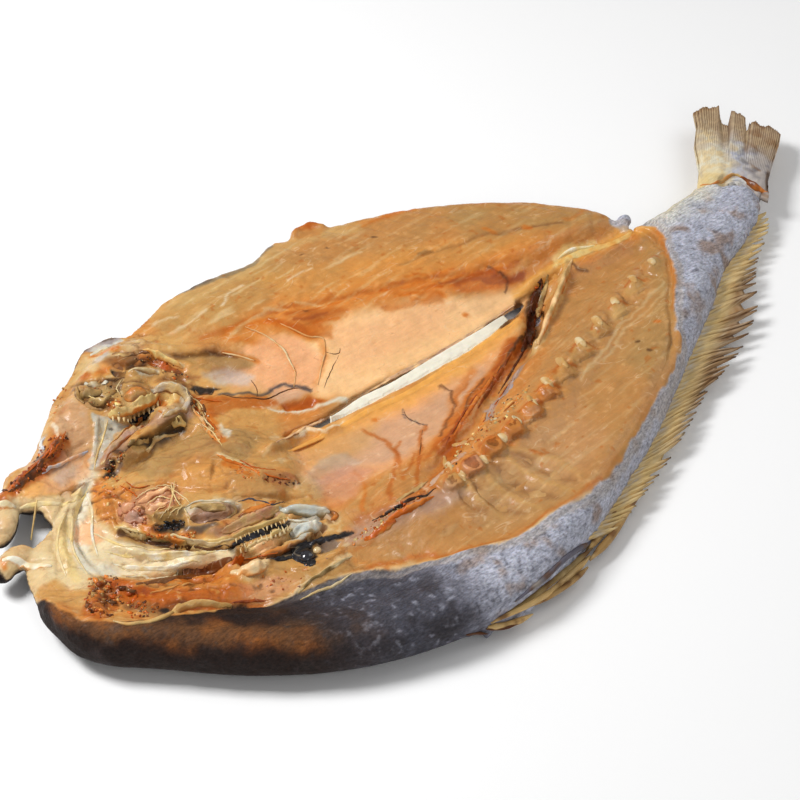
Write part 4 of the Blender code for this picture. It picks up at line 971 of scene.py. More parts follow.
def nearby(points, line, reach):
    low = np.array(line).min(0) - reach
    high = np.array(line).max(0) + reach
    return np.flatnonzero((points[:, 0] > low[0]) & (points[:, 0] < high[0])
                          & (points[:, 1] > low[1]) & (points[:, 1] < high[1]))


def raiseWelts(points, lift, welts):
    wander = noisyPlace(points, 40)
    for values in welts.values():
        line = flat(values["line"])
        reach = values["wide"] * 3 + 2
        some = nearby(points, line, reach)
        x = points[some, 0] + wander[some, 0] * 0.5
        y = points[some, 1] + wander[some, 1] * 0.5
        far, share = nearLine(line, x, y)
        fade = np.clip(np.minimum(share, 1 - share) / values["taper"], 0.0, 1)
        lift[some] += values["height"] * np.exp(-((far / values["wide"]) ** 2)) * fade


reliefSet = {
    "slow": (22.0, 0.45), "middle": (7.0, 0.20), "fine": (2.4, 0.09),      # size and height of the unevenness
    "muscleStep": 8.6,        # distance between the muscle's blocks
    "muscleGroove": 0.20,
    "ribStep": 11.1,
    "ribHeight": 0.30,
    "crumb": (4.2, 0.42),     # crusty parts of the head
    "crease": (6.0, 0.09, 0.85),       # size, thinness and depth of the head's folds
    "smallCrease": (2.6, 0.13, 0.32),
    "skinGrain": (4.0, 0.34),
}

overHead = [    # marks of the body that lie over the head's ground colour
    "farWallLeft", "hollowArc", "hollowPale", "lobeShade", "olivePatch", "lobeRidge", "paleFuzz", "brownHollow",
    "membraneEdge", "leftRust", "bluePit", "farPanelLine", "farPanel", "nearHollow", "nearHole", "nearRosy", "redBand",
]
crustAreas = [    # marks of the head where the flesh is crusty and creased
    "farOlive", "farDome", "farBrown", "rosyLobe", "rosyFibres", "emberCrumbs", "mauveRidge", "jawPink", "crustKnob",
    "mossFibres", "lobeRosyLeft", "farCheekTan", "cheekRosy", "cheekGlow", "roofBlackA", "blackPatchA",
]
slitCentre = [(278, 446), (300, 434), (330, 419), (370, 397), (410, 378), (450, 356), (490, 331), (514, 313)]


def headShare(points):
    return ease(-points[:, 0], 62, 84)


def calmShare(points):
    crust = np.full(len(points), 0.22)
    for name in crustAreas:
        inside = insideOf(flat(headMarks[name]["outline"]), points[:, 0], points[:, 1])
        crust = np.maximum(crust, ease(inside, -2.0, 1.0))
    return 1 - crust


def creaseAt(points, values, seed):
    # 1 along winding folds, drawn out along the jaws
    right = viewAxes()[1]
    along = points[:, 0] * right.x + points[:, 1] * right.y
    across = points[:, 1] * right.x - points[:, 0] * right.y
    drawn = np.stack([along * 0.40, across, points[:, 2] * 0.6], 1)
    return np.exp(-((cloud(drawn, values[0], seed, 2) / values[1]) ** 2))


def reliefAt(points, normals):
    # how far the flesh and skin stand off the plain fish at each point
    x, y = points[:, 0], points[:, 1]
    up = ease(normals[:, 2], 0.05, 0.5)
    edge = insideOf(flat(fleshEdge), x, y)
    flesh = up * ease(edge, -0.5, 2.0)
    head = headShare(points)
    fold = y - lineAt(bodyLines["fold"], x)
    spine = y - lineAt(bodyLines["spine"], x)
    values = reliefSet
    lift = np.zeros(len(points))
    for name, seed in (("slow", 3), ("middle", 4), ("fine", 5)):
        lift += cloud(points, values[name][0], seed) * values[name][1] * flesh
    # blocks of muscle on the far half, swept towards the tail
    along = (x * 0.80 + np.abs(fold - 16) * 0.62 + cloud(points, 16.0, 8) * 2.0) / values["muscleStep"]
    groove = np.exp(-(((along - np.round(along)) * values["muscleStep"] / 0.9) ** 2))
    lift -= groove * values["muscleGroove"] * flesh * ease(fold, 0, 8) * (1 - head)
    # ribs that run from the backbone into the belly wall
    along = (x + spine * 0.55 + cloud(points, 14.0, 10) * 1.0) / values["ribStep"]
    rib = np.cos(2 * math.pi * along) * 0.5
    lift += rib * values["ribHeight"] * flesh * ease(spine, 1, 6) * ease(-spine, -34, -20) * (1 - head)
    rib = np.cos(2 * math.pi * (along + 0.2)) * 0.5
    lift += rib * values["ribHeight"] * flesh * ease(-fold, -4, 4) * ease(fold, -34, -14) * (1 - head)
    # crusty, creased head
    rough = flesh * head * (1 - 0.9 * calmShare(points))
    crumb = cloud(points, values["crumb"][0], 11, 3)
    lift += (np.abs(crumb) * 1.2 - 0.4) * values["crumb"][1] * rough
    lift -= creaseAt(points, values["crease"], 51) * values["crease"][2] * rough
    lift -= creaseAt(points, values["smallCrease"], 52) * values["smallCrease"][2] * rough
    lift += cloud(points, 1.7, 12, 2) * 0.14 * (flesh * 0.3 + rough * 0.7)
    # skin
    skin = 1 - ease(edge, -1.0, 0.5) * up
    size, high = values["skinGrain"]
    lift += cloud(points, size, 13, 3) * high * skin * ease(normals[:, 2], -0.6, 0.0)
    raiseWelts(points, lift, bodyWelts)
    raiseWelts(points, lift, headWelts)
    lift *= np.where(normals[:, 2] > -0.1, 1, 0.0)
    lift = np.clip(lift, -4.0, 3.4)
    for i in np.flatnonzero((lift < -0.8) & (normals[:, 2] > 0)):      # a groove never reaches the skin below
        start = Vector(points[i]) - Vector(normals[i]) * 0.05
        thick = surface["tree"].ray_cast(start, -Vector(normals[i]))[3]
        if thick is not None:
            lift[i] = max(lift[i], -max(thick - 1.2, 0.2))
    return lift


def toneAt(points, normals):
    # the painted colour, and how much of each point is skin
    x, y, z = points.T
    wander = noisyPlace(points, 60)
    edge = insideOf(flat(fleshEdge), x + wander[:, 0], y + wander[:, 1])
    far = lineAt(bodyLines["farEdge"], x) - y
    head = headShare(points)
    spine = y - lineAt(bodyLines["spine"], x)
    tone = np.zeros((len(points), 3))
    tone[:] = palette["amber"]

    patches = cloud(points, 15.0, 21)
    streaks = cloud(points * np.array([0.35, 1.0, 1.0]), 5.0, 22)
    small = cloud(points, 2.2, 23, 2)
    tint(tone, "honey", ease(patches, 0.1, 0.8) * 0.55)
    tint(tone, "tan", ease(-patches, 0.1, 0.8) * 0.55)
    tint(tone, "khaki", ease(streaks, 0.15, 0.8) * 0.35)
    tint(tone, "orange", ease(-streaks, 0.25, 0.9) * 0.35)

    def applyMarks(marks, names=None):
        for name, values in marks.items():
            if names is not None and name not in names:
                continue
            shape = flat(values["outline"] if "outline" in values else values["line"])
            reach = values["soft"] + values.get("wide", 0) + 2
            some = nearby(points, shape, reach)
            px = x[some] + wander[some, 0] * values["fuzz"]
            py = y[some] + wander[some, 1] * values["fuzz"]
            if "outline" in values:
                mask = ease(insideOf(shape, px, py), -values["soft"] / 2, values["soft"] / 2)
            else:
                away = nearLine(shape, px, py)[0]
                mask = ease(-away, -values["wide"] - values["soft"], -values["wide"] + values["soft"] * 0.4)
            mask = mask * values["share"] * (0.86 + 0.14 * patches[some])
            goal = np.array(palette[values["tone"]])
            tone[some] += (goal - tone[some]) * np.clip(mask, 0, 1)[:, None]

    applyMarks(bodyMarks)
    # fine pale fibres of the muscle
    swept = np.stack([x * 0.09 + np.abs(spine + 12) * 0.03, y - 0.10 * x + wander[:, 0] * 0.5, z * 0.3], 1)
    fibres = cloud(swept, 1.3, 24, 2)
    belly = np.zeros(len(points))
    for name in ("farWall", "nearWallClay", "farWallLeft"):
        belly = np.maximum(belly, ease(insideOf(flat(bodyMarks[name]["outline"]), x, y), -2.0, 3.0))
    flesh = ease(edge, 0.5, 3.0) * (1 - head) * (1 - 0.8 * belly)
    pale = 0.24 + 0.22 * ease(-x, -30, 40) * ease(-far, -60, -30)
    tint(tone, "cream", ease(fibres, 0.25, 1.0) * pale * flesh)
    tint(tone, "brown", ease(-fibres, 0.45, 1.0) * 0.10 * flesh)
    tint(tone, "peach", ease(small, 0.55, 1.0) * 0.20 * flesh)
    tint(tone, "rust", ease(-small, 0.75, 1.0) * 0.35 * flesh)
    applyMarks(headMarks, ["headGround"])
    applyMarks(bodyMarks, overHead)
    blotch = cloud(points, 6.5, 25, 3)
    tint(tone, "orange", ease(blotch, 0.25, 0.8) * 0.45 * head)
    tint(tone, "khaki", ease(-blotch, 0.3, 0.8) * 0.25 * head)
    stain = cloud(points, 4.0, 26, 3)
    tint(tone, "rust", ease(stain, 0.45, 0.95) * 0.45 * head)
    tint(tone, "cream", ease(-stain, 0.55, 0.95) * 0.5 * head)
    applyMarks(headMarks, [name for name in headMarks if name != "headGround"])
    rough = head * (1 - 0.85 * calmShare(points)) * ease(edge, 0.0, 1.5)
    # painted shade: the head's folds are darkened, walnut along the large creases and brick along the small ones that
    # the relief sinks; the butter flecks are painted highlights, the umber flecks dark specks
    crease = creaseAt(points, reliefSet["crease"], 51)
    tint(tone, "walnut", crease ** 1.5 * (0.45 + 0.3 * patches) * rough)
    tint(tone, "brick", creaseAt(points, reliefSet["smallCrease"], 52) ** 2 * (0.28 + 0.3 * blotch) * rough)
    tint(tone, "butter", ease(small, 0.5, 1.0) * 0.35 * rough)
    tint(tone, "umber", ease(-small, 0.6, 1.0) * 0.40 * rough)
    # the skin, seen outside the cut flesh and underneath
    skinTone = np.zeros_like(tone)
    skinTone[:] = palette["lilac"]
    spots = cloud(points, 6.5, 31)
    fine = cloud(points, 1.9, 32)
    veins = np.exp(-((cloud(points, 3.4, 34, 2) / 0.09) ** 2))

    # painted shade: low marks the lower flank, which is painted darker in slate and bark
    low = ease(-z, -11.5, -3.5)
    left = ease(-x, 92, 128)
    middle = ease(-x, 58, 84)
    tint(skinTone, "silver", ease(spots, -0.3, 0.7) * 0.8)
    tint(skinTone, "slate", ease(-spots, 0.1, 0.9) * 0.5)
    tint(skinTone, "silver", ease(x, -84, -62) * 0.85)
    tint(skinTone, "brown", ease(cloud(points, 7.0, 33), 0.15, 0.8) * 0.42 * (1 - middle))
    tint(skinTone, "slate", middle * (0.45 + 0.5 * low))
    tint(skinTone, "ink", middle * (0.68 + 0.25 * spots))
    tint(skinTone, "soot", middle * (1 - left) * ease(-spots, -0.1, 0.6) * 0.45)
    tint(skinTone, "bark", left * (0.90 + 0.10 * low))
    upper = ease(z + 1.5 * spots, 12.5, 16.0)
    tint(skinTone, "chestnut", left * ease(cloud(points, 11.0, 35), -0.4, 0.5) * upper * 0.8)
    tint(skinTone, "amber", ease(-x, 108, 126) * ease(z + 1.5 * spots, 14.0, 17.0) * 0.4)
    tint(skinTone, "ink", (1 - left) * veins * ease(-x, 10, 50) * 0.34)
    tint(skinTone, "silver", ease(fine, 0.35, 0.9) * 0.5 * (1 - left))
    tint(skinTone, "slate", left * ease(spots, 0.4, 0.9) * ease(cloud(points, 24.0, 36), 0.0, 0.5) * 0.25)
    tint(skinTone, "ink", ease(-fine, 0.5, 0.9) * 0.4)
    # painted highlight: a pale ash band along the top edge of the flank, beside the flesh
    tint(skinTone, "ash", ease(-np.abs(edge + 1.6), -1.7, -0.4) * ease(z, 4.0, 8.0) * 0.55 * (1 - left))
    tint(skinTone, "milk", ease(y - lineAt(stalkLine, x) + 3 * spots, -15.0, -4.0) * ease(x, 90, 102) * 0.75)
    tint(skinTone, "cream", ease(y - lineAt(stalkLine, x) + 2 * spots, -6.0, -1.0) * ease(x, 92, 104) * 0.6)
    # painted shade: skin facing downward is darkened with ink
    tint(skinTone, "ink", ease(-normals[:, 2], 0.0, 0.5) * 0.35)
    rimWall = ease(-far, -3.0, -1.0) * ease(-normals[:, 2], -0.35, 0.1) * ease(-x, -104, -96)
    skin = np.maximum.reduce([1 - ease(edge, -0.6, 0.6), ease(-normals[:, 2], 0.25, 0.6), rimWall])
    away = nearLine(flat(slitCentre), x, y)[0]
    inSlit = ease(-away, -3.4, -2.2) * ease(z, 1.2, 2.2)
    skin = skin * (1 - inSlit)
    # painted light: the slit's inner walls are painted milk-white, lighter than their shade
    tint(tone, "milk", inSlit * ease(-normals[:, 2], -0.75, -0.4))
    tone += (skinTone - tone) * skin[:, None]
    return tone, skin


stalkLine = [(92, 18), (100, 20.5), (120, 22.5), (130, 30.5), (138.5, 41.5), (147, 50), (156, 55.4), (170, 50)]

layerSet = {    # finer layers over the parts that show the most: outline as the camera sees it, cell size
    "headFlesh": {"cell": 0.42, "outline": [(66, 362), (92, 344), (128, 336), (150, 336), (200, 350),
        (250, 372), (268, 384), (262, 398), (270, 412), (262, 430), (290, 450), (300, 470), (330, 500),
        (346, 524), (352, 540), (352, 556), (330, 580), (296, 600), (240, 603), (190, 607), (120, 618),
        (80, 614), (50, 588), (34, 556), (46, 530), (60, 522), (52, 508), (22, 504), (10, 494), (30, 470),
        (46, 440), (60, 400)]},
    "backFlesh": {"cell": 0.46, "outline": [(548, 262), (572, 258), (600, 248), (640, 232), (660, 240),
        (670, 262), (674, 300), (675, 335), (676, 352), (660, 388), (630, 436), (600, 478), (575, 500),
        (540, 526), (500, 542), (450, 554), (400, 566), (356, 572), (352, 545), (352, 526), (340, 510),
        (352, 494), (400, 470), (440, 430), (470, 390), (500, 350), (520, 320), (528, 290)]},
}


def coveredShare(points):
    # 1 where a finer layer lies over the body, which stays lower there
    cover = np.zeros(len(points))
    for values in layerSet.values():
        cover = np.maximum(cover, ease(insideOf(flat(values["outline"]), points[:, 0], points[:, 1]), 1.0, 3.0))
    return cover


def sculptBody(body):
    points = drawingPoints(body.data)
    normals = normalsOf(body.data)
    lift = reliefAt(points, normals) - 0.5 * coveredShare(points) * ease(normals[:, 2], 0.25, 0.6)
    moved = points + normals * lift[:, None]
    moved[:, 2] = np.maximum(moved[:, 2], 0.5)
    writePoints(body.data, moved)


def paintBody(body):
    points = drawingPoints(body.data)
    normals = normalsOf(body.data)
    tone, skin = toneAt(points, normals)
    writeTone(body.data, tone)
    writeShare(body.data, "skin", skin)


def makeLayer(name):
    # a fine sheet of flesh laid on the body, its rim sunk below the body's surface
    values = layerSet[name]
    shape = np.array(flat(values["outline"]))
    low, high = shape.min(0), shape.max(0)
    columns, rows = (int(n) for n in (high - low) / values["cell"])
    bm = bmesh.new()
    bmesh.ops.create_grid(bm, x_segments=columns, y_segments=rows, size=0.5)
    verts = list(bm.verts)
    flatPoints = np.array([(v.co.x + 0.5, v.co.y + 0.5) for v in verts]) * (high - low) + low
    depth = insideOf(shape, flatPoints[:, 0], flatPoints[:, 1])
    points, normals, keep = [], [], []
    for spot, inside in zip(flatPoints, depth):
        found, normal = None, None
        if inside > -0.4:
            found, normal = lookDown(*spot)
        good = found is not None and found.z > 3.0 and normal.z > 0.1
        keep.append(good)
        points.append(found if good else (spot[0], spot[1], 0))
        normals.append(normal if good else (0, 0, 1))
    points, normals, keep = np.array(points, float), np.array(normals, float), np.array(keep)
    lift = np.zeros(len(points))
    lift[keep] = reliefAt(points[keep], normals[keep])
    lift -= 0.45 * (1 - ease(depth, -0.2, 1.4))
    moved = points + normals * lift[:, None]
    for vert, spot in zip(verts, moved):
        vert.co = spot
    bmesh.ops.delete(bm, geom=[v for v, good in zip(verts, keep) if not good], context="VERTS")
    faceUp(bm)
    kept = points[keep], normals[keep]
    setDown(bm)
    layer = newObject(name, bm)
    tone, skin = toneAt(*kept)
    writeTone(layer.data, tone)
    writeShare(layer.data, "skin", skin)
    giveWall(layer, 0.6)
    thinOut(layer, normalsOf(layer.data)[:, 2] < -0.2, 0.07)
    return layer


def writeTone(mesh, tone):
    colours = np.ones((len(tone), 4), np.float32)
    colours[:, :3] = lightOf(np.clip(tone, 0, 255))
    made = mesh.attributes.get("tone") or mesh.attributes.new("tone", "FLOAT_COLOR", "POINT")
    made.data.foreach_set("color", colours.ravel())


def writeShare(mesh, name, values):
    made = mesh.attributes.get(name) or mesh.attributes.new(name, "FLOAT", "POINT")
    made.data.foreach_set("value", np.asarray(values, np.float32))


def newMaterial(name):
    made = bpy.data.materials.new(name)
    made.use_nodes = True
    tree = made.node_tree
    return {"material": made, "tree": tree, "shader": tree.nodes["Principled BSDF"]}


def addNode(tree, kind, inputs=None, **settings):
    node = tree.nodes.new(kind)
    for name, value in settings.items():
        setattr(node, name, value)
    for name, value in (inputs or {}).items():
        if isinstance(value, bpy.types.NodeSocket):
            tree.links.new(value, node.inputs[name])
        else:
            node.inputs[name].default_value = value
    return node


def mathNode(tree, operation, *values):
    # a Math node's result; each value is a number or a socket
    return addNode(tree, "ShaderNodeMath", dict(enumerate(values)), operation=operation).outputs[0]


def rangeNode(tree, value, low, high, toLow, toHigh):
    return addNode(tree, "ShaderNodeMapRange", {"Value": value, "From Min": low, "From Max": high,
                                                "To Min": toLow, "To Max": toHigh}).outputs[0]


def noiseNode(tree, place, scale, detail, roughness=0.5, distortion=0.0):
    return addNode(tree, "ShaderNodeTexNoise", {"Vector": place, "Scale": scale, "Detail": detail,
                                                "Roughness": roughness, "Distortion": distortion}).outputs[0]


def turnedPlace(tree, place, turn, stretch):
    # coordinates turned about the vertical and drawn out along one side
    return addNode(tree, "ShaderNodeMapping", {"Vector": place, "Rotation": (0, 0, turn),
                                               "Scale": (stretch, 1.0, 1.0)}).outputs[0]


grainSet = {
    "mottle": (240.0, 4.0, 0.6),       # scale, detail and roughness of the noise
    "fibre": (900.0, 3.0, 0.55),
    "pores": (1500.0, 2.0),
    "fibreTurn": math.radians(24),
    "fibreStretch": 0.16,
    "contrast": 0.34,
    "poreDepth": 0.35,
    "rough": (0.36, 0.56),
    "lineStretch": 0.35,
    "lineWave": 0.6,
    "lines": [    # thin winding fibres: scale, turn in degrees, thinness, colour and most of it
        (95.0, 20, 0.009, (0.84, 0.64, 0.40, 1), 0.42),
        (60.0, -35, 0.006, (0.80, 0.62, 0.40, 1), 0.34),
        (150.0, 60, 0.010, (0.20, 0.07, 0.02, 1), 0.30),
    ],
}


def grainGroup():
    # fine colour and height for dried flesh: mottling, long fibres and pores, on Object coordinates
    values = grainSet
    group = bpy.data.node_groups.new("driedGrain", "ShaderNodeTree")
    face = group.interface
    for name, kind, value in (("Tone", "NodeSocketColor", (0.5, 0.3, 0.1, 1)), ("Fibre", "NodeSocketFloat", 0.5),
                              ("Mottle", "NodeSocketFloat", 0.5), ("Scale", "NodeSocketFloat", 1.0),
                              ("Lines", "NodeSocketFloat", 0.0)):
        face.new_socket(name=name, in_out="INPUT", socket_type=kind).default_value = value
    for name, kind in (("Tone", "NodeSocketColor"), ("Height", "NodeSocketFloat"), ("Rough", "NodeSocketFloat")):
        face.new_socket(name=name, in_out="OUTPUT", socket_type=kind)
    given = addNode(group, "NodeGroupInput")
    out = addNode(group, "NodeGroupOutput")
    place = addNode(group, "ShaderNodeTexCoord").outputs["Object"]
    sized = addNode(group, "ShaderNodeVectorMath", {0: place, "Scale": given.outputs["Scale"]},
                    operation="SCALE").outputs[0]
    mottle = noiseNode(group, sized, *values["mottle"])
    swept = turnedPlace(group, sized, values["fibreTurn"], values["fibreStretch"])
    fibre = noiseNode(group, swept, *values["fibre"])
    pores = noiseNode(group, sized, *values["pores"])
    mottled = mathNode(group, "MULTIPLY", rangeNode(group, mottle, 0.3, 0.7, -0.5, 0.5), given.outputs["Mottle"])
    drawn = mathNode(group, "MULTIPLY", rangeNode(group, fibre, 0.3, 0.7, -0.5, 0.5), given.outputs["Fibre"])
    both = mathNode(group, "ADD", mottled, drawn)
    bright = mathNode(group, "MULTIPLY_ADD", both, values["contrast"], 1.0)
    colour = addNode(group, "ShaderNodeHueSaturation", {"Color": given.outputs["Tone"], "Value": bright}).outputs[0]
    broken = rangeNode(group, mottle, 0.48, 0.62, 0.0, 1.0)
    for scale, turn, thin, goal, most in values["lines"]:
        turned = turnedPlace(group, sized, math.radians(turn), values["lineStretch"])
        wavy = noiseNode(group, turned, scale, 2.0, distortion=values["lineWave"])
        away = mathNode(group, "ABSOLUTE", mathNode(group, "SUBTRACT", wavy, 0.5))
        line = mathNode(group, "MULTIPLY", rangeNode(group, away, 0.0, thin, most, 0.0), broken)
        line = mathNode(group, "MULTIPLY", line, given.outputs["Lines"])
        colour = addNode(group, "ShaderNodeMix", {0: line, 6: colour, 7: goal}, data_type="RGBA").outputs[2]
    group.links.new(colour, out.inputs["Tone"])
    group.links.new(mathNode(group, "MULTIPLY_ADD", pores, values["poreDepth"], both), out.inputs["Height"])
    group.links.new(rangeNode(group, mottle, 0.3, 0.7, *values["rough"]), out.inputs["Rough"])


skinSet = {
    "scales": 620.0,               # how many scales of the skin to a metre
    "scaleRim": 0.45,
    "rimShade": (0.05, 0.035, 0.03, 1),
    "rimShare": 0.16,
    "rimDepth": -2.0,
    "speck": (1300.0, 3.0, 0.75),       # scale, detail and roughness of the fine specks
    "speckTurn": -0.35,
    "speckStretch": 0.38,
    "speckShade": (-0.36, 0.34),
    "rougher": 0.24,
    "dryer": 0.9,                  # share of the coat that the skin goes without
}


def skinLook(tree, share, colour, height, rough):
    # scales and specks where share is 1
    values = skinSet
    place = addNode(tree, "ShaderNodeTexCoord").outputs["Object"]
    scale = addNode(tree, "ShaderNodeTexVoronoi", {"Vector": place, "Scale": values["scales"]},
                    feature="DISTANCE_TO_EDGE").outputs["Distance"]
    rim = mathNode(tree, "MULTIPLY", rangeNode(tree, scale, 0.0, values["scaleRim"], 1.0, 0.0), share)
    rim = mathNode(tree, "MULTIPLY", rim, values["rimShare"])
    colour = addNode(tree, "ShaderNodeMix", {0: rim, 6: colour, 7: values["rimShade"]}, data_type="RGBA").outputs[2]
    height = mathNode(tree, "MULTIPLY_ADD", rim, values["rimDepth"], height)
    swept = turnedPlace(tree, place, values["speckTurn"], values["speckStretch"])
    speck = noiseNode(tree, swept, *values["speck"])
    shade = rangeNode(tree, speck, 0.36, 0.64, *values["speckShade"])
    shade = mathNode(tree, "MULTIPLY_ADD", shade, share, 1.0)
    colour = addNode(tree, "ShaderNodeHueSaturation", {"Color": colour, "Value": shade}).outputs[0]
    height = mathNode(tree, "MULTIPLY_ADD", speck, share, height)
    return colour, height, mathNode(tree, "MULTIPLY_ADD", share, values["rougher"], rough)


def fishMaterial(name, fibre, mottle, coat, bump, soft=0.10, skin=False, lines=0.0):
    made = newMaterial(name)
    tree, shader = made["tree"], made["shader"]
    tone = addNode(tree, "ShaderNodeAttribute", attribute_name="tone").outputs["Color"]
    grain = addNode(tree, "ShaderNodeGroup", node_tree=bpy.data.node_groups["driedGrain"])
    tree.links.new(tone, grain.inputs["Tone"])
    for socket, value in (("Fibre", fibre), ("Mottle", mottle), ("Lines", lines)):
        grain.inputs[socket].default_value = value
    colour, height, rough = (grain.outputs[n] for n in ("Tone", "Height", "Rough"))
    if skin:
        share = addNode(tree, "ShaderNodeAttribute", attribute_name="skin").outputs["Fac"]
        tree.links.new(mathNode(tree, "MULTIPLY_ADD", share, -lines, lines), grain.inputs["Lines"])
        colour, height, rough = skinLook(tree, share, colour, height, rough)
        wet = mathNode(tree, "MULTIPLY_ADD", share, -coat * skinSet["dryer"], coat)
        tree.links.new(wet, shader.inputs["Coat Weight"])
    tree.links.new(colour, shader.inputs["Base Color"])
    tree.links.new(rough, shader.inputs["Roughness"])
    relief = addNode(tree, "ShaderNodeBump", {"Height": height, "Strength": bump, "Distance": 0.0005})
    tree.links.new(relief.outputs[0], shader.inputs["Normal"])
    for socket, value in (("Coat Weight", coat), ("Coat Roughness", 0.17), ("Specular IOR Level", 0.2),
                          ("Subsurface Weight", soft), ("Subsurface Radius", (1.0, 0.45, 0.18)),
                          ("Subsurface Scale", 0.0025)):
        shader.inputs[socket].default_value = value
    return made["material"]


def makeFloor():
    bm = bmesh.new()
    bmesh.ops.create_grid(bm, x_segments=2, y_segments=2, size=6.0)
    floor = newObject("floor", bm)
    paper = newMaterial("paper")
    paper["shader"].inputs["Base Color"].default_value = (1.0, 1.0, 1.0, 1)
    paper["shader"].inputs["Roughness"].default_value = 0.9
    floor.data.materials.append(paper["material"])
    floor.location = (0, 0, -0.0004)


def mixTones(first, second, share):
    return np.array(palette[first]) + (np.array(palette[second]) - np.array(palette[first])) * share[:, None]


def paintPlain(made, tone):
    # tones without any skin
    writeTone(made.data, tone)
    writeShare(made.data, "skin", np.zeros(len(tone)))


tailSet = {
    "foot": [(697, 188), (720, 186), (735, 180), (750, 186), (769, 195)],    # along the cut
    "tips": [(693, 113), (703, 107), (712, 106), (719, 105), (720.5, 118), (722, 124), (728, 125),
        (729.5, 121), (730, 110), (735, 111), (740, 113), (745.5, 118), (746.5, 131), (748, 130), (749, 123),
        (755, 121), (761, 125), (768, 124), (775, 128), (781, 133)],
    "left": [(697, 188), (699, 170), (694, 146), (696, 128), (693, 113)],
    "right": [(769, 195), (768, 179), (772, 165), (779, 144), (781, 133)],
    "rays": 42,
    "rayHeight": 0.20,
    "thin": (3.4, 1.1),    # thickness at the foot and at the tips
}


def tailHeight(x, y, upward):
    start = Vector((x, y, -20 if upward else 60))
    found = surface["plain"].ray_cast(start, Vector((0, 0, 1 if upward else -1)))[0]
    return found.z if found is not None else (8.6 if upward else 10.8)


def makeTailFin():
    values = tailSet
    places = {name: np.array([list(atHeight(px, py, 11.0)) for px, py in values[name]])
              for name in ("foot", "tips", "left", "right")}
    columns, rows = 240, 60
    bm = bmesh.new()
    bmesh.ops.create_grid(bm, x_segments=columns, y_segments=rows, size=1.0)
    u = np.array([(v.co.x + 1) / 2 for v in bm.verts])
    v = np.array([(v.co.y + 1) / 2 for v in bm.verts])

    def along(name, share):
        line = places[name]
        gone = np.concatenate([[0], np.cumsum(np.linalg.norm(np.diff(line[:, :2], axis=0), axis=1))])
        if name == "tips":        # across the fin, so that a notch's sides stay steep
            across = (line - line[0]) @ (line[-1] - line[0])
            gone = np.maximum.accumulate(across / across[-1] + np.arange(len(line)) * 1e-4)
        return np.stack([np.interp(share * gone[-1], gone, line[:, i]) for i in range(3)], 1)

    foot, tip = along("foot", u), along("tips", u)
    reach = v * 1.06 - 0.06
    place = foot + (tip - foot) * reach[:, None]
    for name, share in (("left", (1 - u) ** 4), ("right", u ** 4)):
        line = along(name, np.clip(reach, 0, 1))
        ends = places[name]
        place += (line - ends[0] - (ends[-1] - ends[0]) * np.clip(reach, 0, 1)[:, None]) * share[:, None]
    phase = (u + 0.004 * cloud(place, 7.0, 71, 2)) * values["rays"]
    ray = np.cos(2 * math.pi * phase)
    split = np.cos(4 * math.pi * phase + 1.0)
    top = np.array([tailHeight(a, b, False) for a, b in place[:, :2]])
    top += (0.7 * ray + 0.3 * split * ease(reach, 0.5, 0.9)) * values["rayHeight"] * ease(reach, 0.05, 0.5)
    top += cloud(place, 14.0, 72, 2) * 0.4 * ease(reach, 0.2, 0.7) + cloud(place, 3.0, 76, 2) * 0.15
    place[:, 2] = top
    place[:, :2] += (cloud(place, 1.2, 73, 1)[:, None] * 0.35) * ease(reach, 0.85, 1.0)[:, None]
    for vert, spot in zip(bm.verts, place):
        vert.co = spot
    faceUp(bm)
    setDown(bm)
    fin = newObject("tailFin", bm)
    # colour: cream on the left, mottled grey on the right, brown rays towards the tips
    spots = cloud(place, 6.0, 74)
    fine = cloud(place, 1.6, 75, 2)
    small = cloud(place, 3.0, 77, 2)
    tone = mixTones("cream", "silver", ease(u + 0.24 * spots + 0.14 * small, 0.10, 0.55))
    tint(tone, "milk", ease(fine + small, 0.0, 0.8) * 0.75)
    tint(tone, "ash", ease(-small - 0.3 * fine, 0.1, 0.8) * 0.5)
    tint(tone, "ash", ease(u + 0.10 * spots, 0.45, 0.75) * 0.8)
    tint(tone, "slate", ease(small, -0.2, 0.9) * ease(u, 0.35, 0.7) * 0.6)
    tint(tone, "butter", ease(0.25 - reach, 0.0, 0.25) * ease(0.5 - u, 0, 0.3) * 0.6)
    tint(tone, "umber", ease(u, 0.93, 0.99) * ease(reach, 0.0, 0.1) * ease(-reach, -0.4, -0.3) * 0.8)
    brown = ease(reach + 0.12 * spots + 0.10 * small - 0.06 * ease(0.3 - u, 0, 0.3), 0.42, 0.82)
    rayTone = mixTones("brown", "straw", np.clip(0.55 + 0.35 * ray + 0.4 * fine, 0, 1))
    rayTone += (np.array(palette["ash"]) - rayTone) * 0.45
    tint(rayTone, "cream", ease(-fine, 0.2, 0.8) * 0.4)
    tone += (rayTone - tone) * (brown * 0.92)[:, None]
    tint(tone, "brown", ease(reach, 0.94, 1.0) * 0.4)
    tint(tone, "umber", ease(-ray, 0.6, 1.0) * ease(reach, 0.5, 0.8) * 0.35)
    drawn = cloud(place * np.array([1, 0.4, 1]), 2.2, 78, 2)
    tint(tone, "brown", ease(drawn, 0.2, 0.8) * ease(u, 0.5, 0.75) * 0.4)
    paintPlain(fin, tone)
    giveWall(fin, 0.5)
    points = drawingPoints(fin.data)
    count = len(place)
    thick = values["thin"][0] + (values["thin"][1] - values["thin"][0]) * ease(reach, 0.0, 0.6)
    for i in range(count, len(points)):
        k = i - count
        low = tailHeight(place[k, 0], place[k, 1], True) + 0.3
        if reach[k] > 0.25:
            low = max(low, place[k, 2] - thick[k])
        points[i] = (place[k, 0], place[k, 1], min(low, place[k, 2] - 0.9))
    writePoints(fin.data, points)
    return fin


